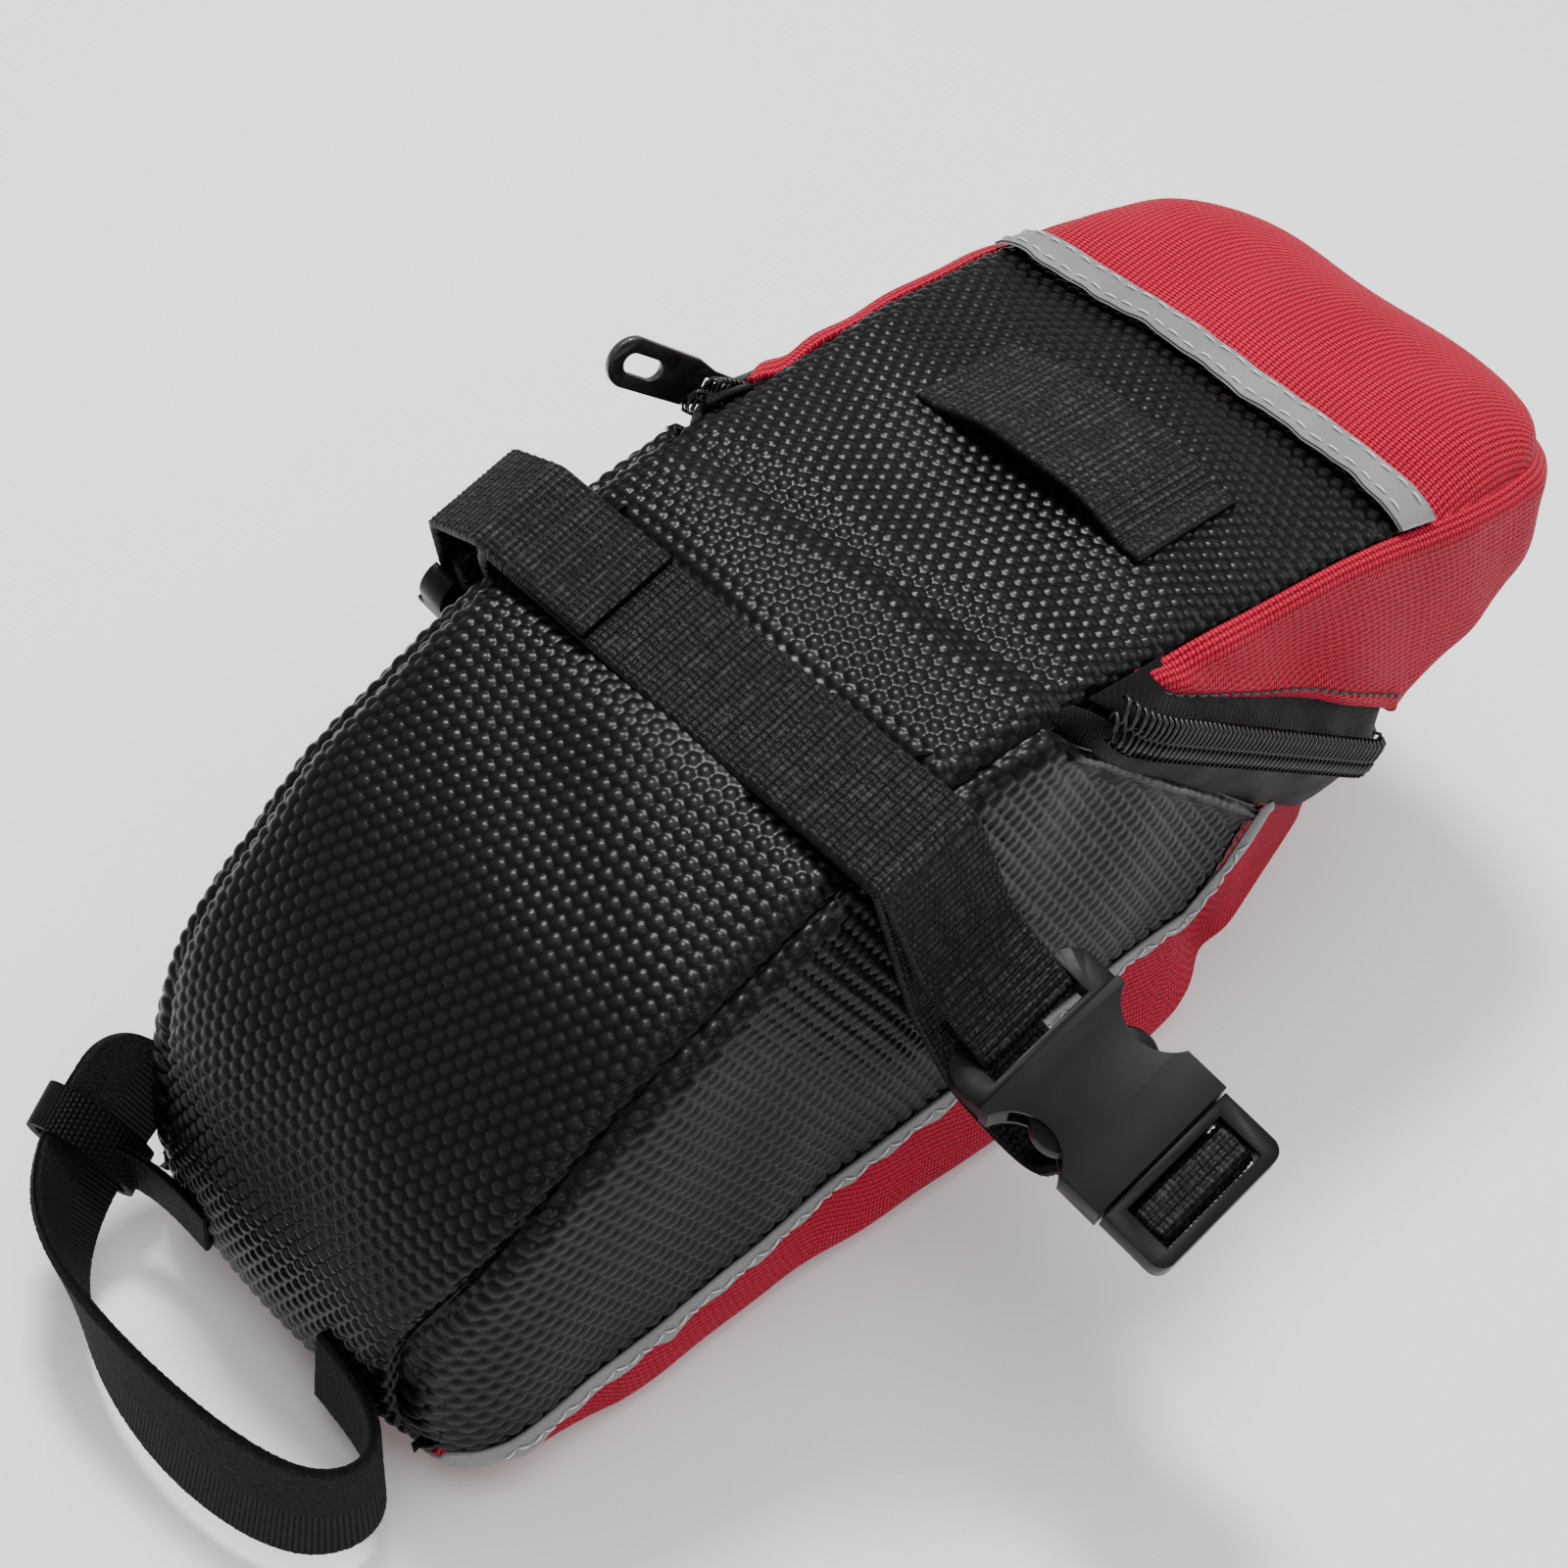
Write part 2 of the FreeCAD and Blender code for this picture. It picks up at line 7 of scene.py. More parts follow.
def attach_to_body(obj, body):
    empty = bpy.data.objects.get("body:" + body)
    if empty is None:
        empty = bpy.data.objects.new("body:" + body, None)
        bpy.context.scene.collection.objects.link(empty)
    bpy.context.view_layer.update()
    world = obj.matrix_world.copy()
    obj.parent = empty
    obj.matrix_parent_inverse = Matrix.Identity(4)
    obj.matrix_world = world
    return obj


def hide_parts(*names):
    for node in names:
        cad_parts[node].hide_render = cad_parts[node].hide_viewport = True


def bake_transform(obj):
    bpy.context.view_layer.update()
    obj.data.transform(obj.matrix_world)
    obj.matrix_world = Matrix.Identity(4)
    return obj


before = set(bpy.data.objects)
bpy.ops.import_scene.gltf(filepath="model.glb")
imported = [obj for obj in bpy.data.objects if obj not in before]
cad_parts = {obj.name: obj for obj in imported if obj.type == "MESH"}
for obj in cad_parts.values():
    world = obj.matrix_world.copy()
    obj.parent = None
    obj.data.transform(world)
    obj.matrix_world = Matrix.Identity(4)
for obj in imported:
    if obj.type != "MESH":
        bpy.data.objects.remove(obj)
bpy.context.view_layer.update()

# Saddle bag. x points to the side called right, y to the rear, z up. Lengths are millimetres in the
# CAD frame, except where metres are named and for the camera, the floor and the lamps.
MM = 0.001
UP, REARWARD = np.array([0, 0, 1.0]), np.array([0, 1.0, 0])
SIDES = (("right", 1), ("left", -1))
rng = np.random.default_rng(7)
BAG_MIDDLE, ZIP_MIDDLE, REAR_MIDDLE = (0, 20, 45), (0, 60, 70), (0, 115, 75)

# ---- camera
camera_data = bpy.data.cameras.new("camera")
camera_data.lens = 62.92
camera_data.sensor_width = 36
camera_data.clip_start = 0.01
camera = bpy.data.objects.new("camera", camera_data)
bpy.context.scene.collection.objects.link(camera)
camera_right, camera_up = (0.6768, 0.7282, 0.1081), (-0.587, 0.4453, 0.6761)
camera_back, camera_at = (0.4442, -0.5211, 0.7288), (0.1664, -0.1782, 0.3289)
camera.matrix_world = Matrix((*zip(camera_right, camera_up, camera_back, camera_at), (0, 0, 0, 1)))
bpy.context.scene.camera = camera

# ---- materials


class Material:
    """A Principled material with a few node helpers."""

    def __init__(self, name, roughness=0.6, **sockets):
        self.mat = bpy.data.materials.new(name)
        self.mat.use_nodes = True
        self.tree = self.mat.node_tree
        self.link = self.tree.links.new
        self.shader = self.tree.nodes["Principled BSDF"]
        self.shader.inputs["Roughness"].default_value = roughness
        for key, value in sockets.items():
            self.shader.inputs[key.replace("_", " ")].default_value = value

    def node(self, kind, **settings):
        made = self.tree.nodes.new(kind)
        for key, value in settings.items():
            setattr(made, key, value)
        return made

    def put(self, source, socket):
        if isinstance(source, (int, float)):
            socket.default_value = source
        else:
            self.link(source, socket)

    def math(self, operation, a, b=0.0):
        made = self.node("ShaderNodeMath", operation=operation)
        self.put(a, made.inputs[0])
        self.put(b, made.inputs[1])
        return made.outputs[0]

    def ridges(self, distance, rate):
        return self.math("ABSOLUTE", self.math("SINE", self.math("MULTIPLY", distance, rate)))

    def mix(self, main, main_share, other, other_share):
        return self.math("ADD", self.math("MULTIPLY", main, main_share),
                         self.math("MULTIPLY", other, other_share))

    def choose(self, share, one, other):
        """share of one height and the rest of the other."""
        return self.math("ADD", self.math("MULTIPLY", share, one),
                         self.math("MULTIPLY", self.math("SUBTRACT", 1.0, share), other))

    def uv(self):
        split = self.node("ShaderNodeSeparateXYZ")
        self.link(self.node("ShaderNodeUVMap", uv_map="UVMap").outputs[0], split.inputs[0])
        return split.outputs[0], split.outputs[1]

    def noise(self, scale, detail=3.0):
        where = self.node("ShaderNodeTexCoord").outputs["Object"]
        made = self.node("ShaderNodeTexNoise")
        made.inputs["Scale"].default_value = scale
        made.inputs["Detail"].default_value = detail
        self.link(where, made.inputs["Vector"])
        return made.outputs["Fac"]

    def height(self):
        return self.node("ShaderNodeAttribute", attribute_name="height").outputs["Fac"]

    def ramp(self, factor, *stops):
        """Each stop is (position, colour), the colour being (red, green, blue) or (grey,)."""
        made = self.node("ShaderNodeValToRGB")
        elements = made.color_ramp.elements
        while len(elements) < len(stops):
            elements.new(0.5)
        for element, (position, colour) in zip(elements, stops):
            element.position = position
            element.color = (*colour, 1) if len(colour) == 3 else (colour[0],) * 3 + (1,)
        self.put(factor, made.inputs[0])
        return made.outputs[0]

    def colour(self, factor, *stops):
        self.link(self.ramp(factor, *stops), self.shader.inputs["Base Color"])

    def rough(self, factor, smoothest, roughest):
        self.link(self.ramp(factor, (0.3, (smoothest,)), (0.7, (roughest,))),
                            self.shader.inputs["Roughness"])

    def bump(self, height, distance, strength=1.0):
        """Adds fine relief, distance millimetres high, on top of any that is there already."""
        made = self.node("ShaderNodeBump")
        made.inputs["Strength"].default_value = strength
        made.inputs["Distance"].default_value = distance * MM
        self.link(height, made.inputs["Height"])
        previous = self.shader.inputs["Normal"]
        if previous.is_linked:
            self.link(previous.links[0].from_socket, made.inputs["Normal"])
        self.link(made.outputs[0], previous)

    def weave(self, pitch_u, pitch_v):
        """Height of a plain weave, from 0 to 1, with threads along u and v going over in turn."""
        u, v = self.uv()
        across = self.math("DIVIDE", u, pitch_u)
        along = self.math("DIVIDE", v, pitch_v)
        cells = self.math("ADD", self.math("FLOOR", across), self.math("FLOOR", along))
        over = self.math("MODULO", self.math("ABSOLUTE", cells), 2.0)
        ridge_u, ridge_v = self.ridges(across, math.pi), self.ridges(along, math.pi)
        return self.choose(over, self.mix(ridge_u, 0.75, ridge_v, 0.25),
                           self.mix(ridge_v, 0.75, ridge_u, 0.25))


def dimpled_material():
    made = Material("dimpled_fabric", 0.28, Specular_IOR_Level=0.13)
    # Painted shade and highlight: the colour follows the dome height, nearly black in the valleys
    # between domes and where domes are flattened, lighter on the dome tops.
    made.colour(made.height(), (0.0, (0.0008, 0.0008, 0.001)), (0.5, (0.003, 0.003, 0.0034)),
                (1.0, (0.008, 0.008, 0.0086)))
    made.rough(made.noise(60), 0.24, 0.34)
    made.bump(made.noise(2600, 2.0), 0.03, 0.6)
    return made.mat


def red_material():
    made = Material("red_fabric", 0.6, Specular_IOR_Level=0.12)
    woven = made.weave(1.0, 0.7)
    # Painted highlight and shade: the weave height makes thread crests lighter red and the gaps between
    # threads darker; the smaller noise share is uneven tone of the cloth.
    thread_highlight_and_tone = made.mix(woven, 0.8, made.noise(45), 0.2)
    made.colour(thread_highlight_and_tone, (0.12, (0.045, 0.0002, 0.003)), (0.55, (0.33, 0.001, 0.018)),
                (1.0, (0.60, 0.006, 0.05)))
    made.bump(woven, 0.42)
    made.bump(made.noise(1600), 0.04, 0.5)
    return made.mat


def webbing_material(name, light, pitch_u, pitch_v):
    """Woven band with painted highlight on its raised ribs, coloured light grey, and painted shade in
    its gaps, coloured nearly black.
    """
    made = Material(name, 0.55, Specular_IOR_Level=0.18)
    woven = made.weave(pitch_u, pitch_v)
    # Painted highlight and shade: the colour rises with the rib height attribute and is broken up by
    # noise.
    relief = made.math("MULTIPLY", made.math("ADD", made.height(), 0.12), made.noise(700))
    made.colour(relief, (0.12, (0.0005, 0.0005, 0.0007)), (0.36, (light * 0.16,)), (0.62, (light,)))
    made.bump(woven, 0.22)
    made.rough(made.noise(120), 0.45, 0.65)
    return made.mat


def reflective_material():
    made = Material("reflective_tape", 0.45, Specular_IOR_Level=0.3)
    grain = made.noise(2200, 2.0)
    broad = made.noise(70)
    made.colour(made.mix(grain, 0.35, broad, 0.65), (0.25, (0.12, 0.12, 0.123)),
                (0.75, (0.23, 0.23, 0.234)))
    made.bump(grain, 0.02, 0.6)
    made.rough(broad, 0.32, 0.5)
    return made.mat


def plain_material(name, roughness, colour, rough=None, bump=None, **sockets):
    """colour is (noise scale, stop, stop), rough (noise scale, smoothest, roughest) and bump (noise
    scale, detail, distance, strength)."""
    made = Material(name, roughness, **sockets)
    made.colour(made.noise(colour[0]), *colour[1:])
    if rough:
        made.rough(made.noise(rough[0]), *rough[1:])
    if bump:
        made.bump(made.noise(*bump[:2]), *bump[2:])
    return made.mat


def pile_material():
    """Hook-and-loop tape: fuzzy loops on one half of the width, fine ribs on the other."""
    made = Material("hook_and_loop", 0.8, Specular_IOR_Level=0.15)
    u, v = made.uv()
    fuzzy = made.math("GREATER_THAN", u, 8.0)
    height = made.choose(fuzzy, made.noise(2400, 4.0), made.ridges(v, math.pi / 0.7))
    # Painted shade and highlight: the colour follows the bump height, darker in the grooves between
    # ribs and the low spots of the loops, lighter on the crests.
    made.colour(height, (0.3, (0.0008, 0.0008, 0.001)), (0.7, (0.012, 0.012, 0.0125)))
    made.bump(height, 0.2)
    return made.mat


DIMPLED = dimpled_material()
RED = red_material()
# For each band the second number is the grey of the painted highlight on its ribs.
WEBBING = webbing_material("webbing", 0.034, 0.9, 0.55)
LOOP_WEBBING = webbing_material("loop_webbing", 0.036, 1.0, 0.6)
TAPE_CLOTH = webbing_material("zip_tape_cloth", 0.009, 0.6, 0.45)
REFLECTIVE = reflective_material()
PLASTIC = plain_material(
    "buckle_plastic", 0.42, (140, (0.3, (0.0022, 0.0022, 0.0026)), (0.7, (0.0045, 0.0045, 0.005))),
    (300, 0.36, 0.48), (5200, 2.0, 0.012, 0.5), Specular_IOR_Level=0.14)
PAINT = plain_material(
    "black_paint", 0.2, (260, (0.35, (0.007, 0.007, 0.008)), (0.75, (0.018, 0.018, 0.02))),
    (700, 0.16, 0.3), Metallic=0.0, Coat_Weight=0.6, Coat_Roughness=0.12)
COIL = plain_material(
    "zip_coil", 0.24, (800, (0.3, (0.0015, 0.0015, 0.0018)), (0.8, (0.005, 0.005, 0.0055))),
    (900, 0.2, 0.32), Specular_IOR_Level=0.4)
PILE = pile_material()
GREY_THREAD, BLACK_THREAD = (
    plain_material(name, 0.6, (1500, (0.3, (dark,)), (0.7, (light,))), bump=(3500, 3.0, 0.03, 0.6))
    for name, dark, light in (("grey_thread", 0.45, 0.62), ("black_thread", 0.01, 0.03)))
# The keeper uses the webbing colouring, with its painted rib highlight and shade.
ELASTIC = webbing_material("keeper_elastic", 0.03, 0.5, 0.8)

# ---- the bag's shape
TOP_RADIUS, BASE_RADIUS = 4.0, 5.0
TOP_ARC, BASE_ARC = TOP_RADIUS * math.pi / 2, BASE_RADIUS * math.pi / 2
INSET = 2.4  # the seams between the top and the sides run this far inside the bag's sides
SEAM_ANGLE = 0.41  # radians round the top edge at which the side cloth starts
HINGE_Y, HINGE_Z, MOUTH_DROP = 28.0, 93.4, 0.66
MOUTH_COS = 1 / math.hypot(1, MOUTH_DROP)
MOUTH_TOP = 93.1
REAR_Y = 141


def straight_side(y):
    return 36.8 + (y - 23.0) * 0.063


# y, height of the bottom, height of the top, half width
stations = np.array([
    (-69.0, 14.0, 31.0, 27.0), (-66.0, 6.5, 40.0, 31.0), (-61.0, 2.5, 49.0, 33.6),
    (-54.0, 0.5, 56.5, 34.6), (-38.0, 0.0, 69.5, 35.2), (-13.0, 0.0, 83.0, 35.8),
    (8.0, 0.0, 91.0, 36.3), (23.0, 0.0, 93.4, 36.8),
    (60.0, 0.0, 93.4, straight_side(60)), (68.0, 3.0, 93.4, straight_side(68)),
    (78.0, 14.0, 93.4, straight_side(78)), (87.0, 32.0, 92.4, straight_side(87)),
    (94.0, 49.5, 91.0, straight_side(94)), (103.0, 54.8, 89.5, straight_side(103)),
    (114.0, 60.3, 88.3, 42.0), (124.0, 65.0, 86.3, 40.6), (132.0, 67.8, 83.9, 36.5),
    (138.0, 69.3, 81.2, 30.0), (141.0, 70.0, 79.0, 22.0)])


def bell(value, centre, width):
    """1 at the centre, falling smoothly to almost nothing two widths away."""
    return np.exp(-((value - centre) / width) ** 2)


def climb(value, start, span):
    """0 up to the start, then rising to 1 over the span; a negative span runs the other way."""
    return np.clip((value - start) / span, 0, 1)


def blur(values, sigma):
    """Gaussian smoothing along the first axis, in steps of the rows, that keeps the ends."""
    reach = int(3 * sigma) + 1
    kernel = np.exp(-0.5 * (np.arange(-reach, reach + 1) / sigma) ** 2)
    kernel /= kernel.sum()
    flat = values.reshape(len(values), -1)
    head = 2 * flat[:1] - flat[1:reach + 1][::-1]
    tail = 2 * flat[-1:] - flat[-reach - 1:-1][::-1]
    padded = np.concatenate([head, flat, tail])
    smooth = [np.convolve(column, kernel, "valid") for column in padded.T]
    return np.stack(smooth, 1).reshape(values.shape)


def resample(where, known, values):
    """The columns of values, which belong to the rising places known, read at other places."""
    return np.stack([np.interp(where, known, column) for column in values.T], -1)


fine_y = np.linspace(-69, REAR_Y, 841)
fine = blur(resample(fine_y, stations[:, 0], stations[:, 1:]), 8)


def low(y):
    return np.interp(y, fine_y, fine[:, 0])


def high(y):
    return np.interp(y, fine_y, fine[:, 1])


def half(y):
    return np.interp(y, fine_y, fine[:, 2])


def outline(y, q):
    """Point (x, z) of the right half of the section at y, q millimetres round from the top's middle."""
    w, zl, zh = half(y), low(y), high(y)
    edge = w - TOP_RADIUS
    side = np.maximum(zh - TOP_RADIUS - zl - BASE_RADIUS, 0)
    a = np.clip((q - edge) / TOP_RADIUS, 0, math.pi / 2)
    down = np.clip(q - edge - TOP_ARC, 0, side)
    b = np.clip((q - edge - TOP_ARC - side) / BASE_RADIUS, 0, math.pi / 2)
    back_in = np.maximum(q - edge - TOP_ARC - side - BASE_ARC, 0)
    x = np.minimum(q, edge) + TOP_RADIUS * np.sin(a) - BASE_RADIUS * (1 - np.cos(b)) - back_in
    z = zh - TOP_RADIUS * (1 - np.cos(a)) - down - BASE_RADIUS * np.sin(b)
    return x, z


def edge_drop(x, y):
    """How far the rounded long edge has fallen below the top, x millimetres from the middle."""
    over = np.maximum(np.abs(x) - (half(y) - TOP_RADIUS), 0)
    return TOP_RADIUS - np.sqrt(TOP_RADIUS ** 2 - over ** 2)


def front_pinch(y, z):
    """How far the sides are drawn in low down at the front."""
    return 2.6 * bell(z, low(y), 8.0) * bell(y, -66, 6.0)


def around(y, z):
    """The q of the outline's point at height z on the side."""
    w, zl, zh = half(y), low(y), high(y)
    side = np.maximum(zh - TOP_RADIUS - zl - BASE_RADIUS, 0)
    a = np.arccos(np.clip((z - zh + TOP_RADIUS) / TOP_RADIUS, 0, 1))
    b = np.arcsin(np.clip((zl + BASE_RADIUS - z) / BASE_RADIUS, 0, 1))
    return w - TOP_RADIUS + TOP_RADIUS * a + np.clip(zh - TOP_RADIUS - z, 0, side) + BASE_RADIUS * b


def whole_way(y):
    """The q of the outline's last point, in the middle of the bottom."""
    side = np.maximum(high(y) - low(y) - TOP_RADIUS - BASE_RADIUS, 0)
    return 2 * half(y) - TOP_RADIUS - BASE_RADIUS + side + (TOP_RADIUS + BASE_RADIUS) * math.pi / 2


SIDE_CORNER = (73.5, 48.99)  # the side panel's rear corner, 12 mm below the mouth
seam_points = np.array([(-69.0, 8.6), (-66.5, 9.0), (62.0, 33.0), (68.5, 40.0), SIDE_CORNER])


def seam_height(y):
    """Height of the seam between a side panel and the red base."""
    return np.interp(y, seam_points[:, 0], seam_points[:, 1])


def mouth_height(y, d=0.0):
    """Height of the plane d millimetres above the sloping mouth that the zip closes."""
    return HINGE_Z - (y - HINGE_Y) * MOUTH_DROP + d / MOUTH_COS


def ripple(p):
    """Slow unevenness of soft fabric, the same for every panel so that the seams still meet."""
    x, y, z = p[..., 0], p[..., 1], p[..., 2]
    return 0.75 * (0.45 * np.sin(x * 0.11 + y * 0.07 + 1.3) + 0.35 * np.sin(y * 0.16 - z * 0.09 + 0.4)
            + 0.25 * np.sin(x * 0.21 - y * 0.05 + z * 0.13 + 2.1) + 0.18 * np.sin(y * 0.31 + x * 0.17))


# ---- mesh helpers
DOME_PITCH = 2.28
INNER_HEIGHT = 0.3  # the height attribute of a panel's plain inner face


def unit(vectors):
    return vectors / np.linalg.norm(vectors, axis=-1, keepdims=True)


def directions(path):
    """Unit directions along a line of points."""
    return unit(np.gradient(path, axis=0))


def distances(path):
    """Length of a line of points up to each of them."""
    return np.concatenate([[0], np.cumsum(np.linalg.norm(np.diff(path, axis=0), axis=1))])


def normals(grid):
    n = np.cross(np.gradient(grid, axis=0), np.gradient(grid, axis=1))
    length = np.linalg.norm(n, axis=-1, keepdims=True)
    return n / np.maximum(length, 1e-9)


def away_from(centre, grid, n):
    """The normals n, all turned round if they point towards the centre on the whole."""
    return -n if np.sum(n * (grid - np.array(centre))) < 0 else n


def sideways_out(grid, sign):
    """The grid's normals, turned to point out of the bag on the side that sign names."""
    n = normals(grid)
    return n if np.sum(n[..., 0]) * sign > 0 else -n


def run_length(grid, axis):
    """Length along the rows or columns of a grid up to each point."""
    steps = np.linalg.norm(np.diff(grid, axis=axis), axis=-1)
    pad = [(0, 0), (0, 0)]
    pad[axis] = (1, 0)
    return np.pad(np.cumsum(steps, axis=axis), pad)


def new_object(name, verts, faces, material, uvs=None, heights=None):
    mesh = bpy.data.meshes.new(name)
    mesh.from_pydata((np.asarray(verts) * MM).tolist(), [], faces)
    if uvs is not None:
        layer = mesh.uv_layers.new(name="UVMap")
        index = np.empty(len(mesh.loops), np.int32)
        mesh.loops.foreach_get("vertex_index", index)
        layer.data.foreach_set("uv", np.asarray(uvs, np.float32)[index].ravel())
    if heights is not None:
        attribute = mesh.attributes.new("height", "FLOAT", "POINT")
        attribute.data.foreach_set("value", np.asarray(heights, np.float32).ravel())
    mesh.polygons.foreach_set("use_smooth", [True] * len(mesh.polygons))
    mesh.update()
    obj = bpy.data.objects.new(name, mesh)
    bpy.context.scene.collection.objects.link(obj)
    mesh.materials.append(material)
    return obj


def quads(n, m, start=0, flip=False, closed=False):
    """Faces of a grid of n rows of m points; closed joins each row's last point to its first."""
    rows = np.arange(n - 1)[:, None] * m
    columns = np.arange(m if closed else m - 1)[None, :]
    following = (columns + 1) % m
    faces = np.stack([rows + columns, rows + following, rows + m + following, rows + m + columns], -1)
    faces = faces.reshape(-1, 4)
    if flip:
        faces = faces[:, ::-1]
    return (faces + start).tolist()


def sheet(name, grid, material, bodies, thickness, skip, heights=None, centre=BAG_MIDDLE):
    """A closed panel: a fine outer face, an inner face skip times coarser and a rim joining them."""
    n, m = ((grid.shape[i] - 1) // skip * skip + 1 for i in (0, 1))
    keep_rows = np.round(np.linspace(0, grid.shape[0] - 1, n)).astype(int)
    keep_columns = np.round(np.linspace(0, grid.shape[1] - 1, m)).astype(int)
    outer = grid[keep_rows][:, keep_columns]
    normal = normals(outer)
    flip = np.sum(normal * (outer - np.array(centre))) < 0
    if flip:
        normal = -normal
    inner = (outer - normal * thickness)[::skip, ::skip]
    rows, columns = inner.shape[:2]
    start = n * m
    faces = quads(n, m, 0, not flip) + quads(rows, columns, start, flip)
    outside = np.arange(n * m).reshape(n, m)
    inside = np.arange(rows * columns).reshape(rows, columns) + start
    for outer_line, inner_line in ((outside[0], inside[0]), (outside[:, -1], inside[:, -1]),
                                   (outside[-1][::-1], inside[-1][::-1]),
                                   (outside[:, 0][::-1], inside[:, 0][::-1])):
        outer_line, inner_line = outer_line.tolist(), inner_line.tolist()
        for k in range(len(inner_line) - 1):
            faces.append(outer_line[k * skip:(k + 1) * skip + 1] + [inner_line[k + 1], inner_line[k]])
    uv = np.stack([run_length(outer, 1), run_length(outer, 0)], -1)
    # The heights become the height attribute, from which the dimpled colour paints shade in the hollows
    # and highlight on the domes.
    tall = np.zeros(outer.shape[:2]) if heights is None else heights[keep_rows][:, keep_columns]
    verts = np.concatenate([outer.reshape(-1, 3), inner.reshape(-1, 3)])
    uvs = np.concatenate([uv.reshape(-1, 2), uv[::skip, ::skip].reshape(-1, 2)])
    tall = np.concatenate([tall.ravel(), np.full(rows * columns, INNER_HEIGHT)])
    obj = new_object(name, verts, faces, material, uvs, tall)
    attach(obj, bodies)
    return obj


def attach(obj, bodies):
    """bodies is one body's name, which the object is attached to; given two names and two points
    instead, the object is only left in place and nothing blends.
    """
    if isinstance(bodies, str):
        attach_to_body(obj, bodies)
    else:
        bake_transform(obj)


def dome(u, v):
    """Height from 0 to 1 of the embossed domes, packed in hexagons."""
    row_step = DOME_PITCH * math.sqrt(3) / 2
    nearest = np.full(u.shape, 1e9)
    row = np.round(v / row_step)
    for offset in (-1, 0, 1):
        line = row + offset
        shift = np.where(np.mod(line, 2) > 0.5, DOME_PITCH / 2, 0)
        du = np.mod(u - shift + DOME_PITCH / 2, DOME_PITCH) - DOME_PITCH / 2
        nearest = np.minimum(nearest, du ** 2 + (v - line * row_step) ** 2)
    return np.clip(1 - nearest / (DOME_PITCH * 0.52) ** 2, 0, 1)


def dimple(grid, u, v, height, fade):
    """Emboss a grid; u and v are the places of its points on the flat cloth."""
    rise = dome(u, v) * fade
    n = away_from(BAG_MIDDLE, grid, normals(grid))
    return grid + n * (rise * height)[..., None], rise


def edge_distance(grid, edges):
    """Distance of every point from the nearest of the listed edges, along its row."""
    across = run_length(grid, 1)
    distance = np.full(grid.shape[:2], 1e9)
    if "left" in edges:
        distance = np.minimum(distance, across)
    if "right" in edges:
        distance = np.minimum(distance, across[:, -1:] - across)
    return distance


def seam_fade(grid, edges):
    """Share of the domes' height that sewing leaves: a tenth at the listed edges, all further in."""
    return 1 - 0.9 * bell(edge_distance(grid, edges), 0, 1.3)


def swell(grid, edges, depth=1.0, width=3.0, bulge=0.0):
    """Push a panel out in the middle and in along the listed edges, as sewn foam does."""
    n = away_from(BAG_MIDDLE, grid, normals(grid))
    distance = edge_distance(grid, edges)
    push = ripple(grid) - depth * bell(distance, 0, width)
    middle = 1 - bell(distance, 0, 14.0)
    return grid + n * (push + bulge * middle)[..., None]


# ---- dimpled top, one sheet from the front edge to the grey tape
top_path = np.concatenate([[(-64.8, 6.6), (-67.6, 8.8), (-69.2, 12.8), (-69.4, 22.0)],
                           [(y, zh) for y, zl, zh, w in stations if y <= 94], [(98.5, 90.2)]])
top_steps = np.concatenate([[0], np.cumsum(np.hypot(*np.diff(top_path, axis=0).T))])
TOP_LENGTH = top_steps[-1]
dense_s = np.linspace(0, TOP_LENGTH, 421)
dense = blur(resample(dense_s, top_steps, top_path), 7)


def top_point(s):
    """(y, z) of the top's middle line and its outward normal, s millimetres from the front."""
    y, z = (np.interp(s, dense_s, dense[:, i]) for i in (0, 1))
    ty, tz = (np.interp(s, dense_s, np.gradient(dense[:, i])) for i in (0, 1))
    size = np.hypot(ty, tz)
    return y, z, -tz / size, ty / size


def s_at(y):
    return np.interp(y, dense[30:, 0], dense_s[30:])


TOP_STEP = 0.395
rows, columns = int(TOP_LENGTH / TOP_STEP), 199
s = np.linspace(0, TOP_LENGTH, rows)[:, None] * np.ones((1, columns))
y, z, ny, nz = top_point(s)
TOP_OVERLAP = 1.2
reach = half(y) - INSET + TOP_OVERLAP
x = np.linspace(-1, 1, columns)[None, :] * reach
crown = 1.6 * (1 - (x / reach) ** 2) * bell(y, 70, 45) * 0.6
crown += 2.0 * (1 - (x / reach) ** 2) * bell(y, -42, 26)
under_strap = np.exp(-((y + 0.5) / 8.5) ** 4)
crease = 0.9 * bell(y - 25, 0.1 * x, 3.2)
lift = crown - 1.0 * under_strap - crease - edge_drop(x, y)
top = np.stack([x, y + ny * lift, z + nz * lift], -1)
fade = (1 - 0.85 * under_strap) * seam_fade(top, ("left", "right"))
top = swell(top, ("left", "right"), 1.9, 3.0, 0.7)
top, rise = dimple(top, x, s, 0.43, fade)
hinge_start, hinge_end = (0, 0.018, 0.0934), (0, 0.038, 0.0934)  # metres
top_fabric = sheet("top_fabric", top, DIMPLED, ("bag", "hood", hinge_start, hinge_end),
                   0.8, 6, rise)
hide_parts("top_panel", "hood_panel")

# ---- dimpled sides
EDGE_FROM, EDGE_TO = (22.5, 89.4 + TOP_RADIUS * math.cos(SEAM_ANGLE)), SIDE_CORNER
TOP_START, BOTTOM_START = 3.0, -66.8  # where the side starts: s on the top, y at the lower seam


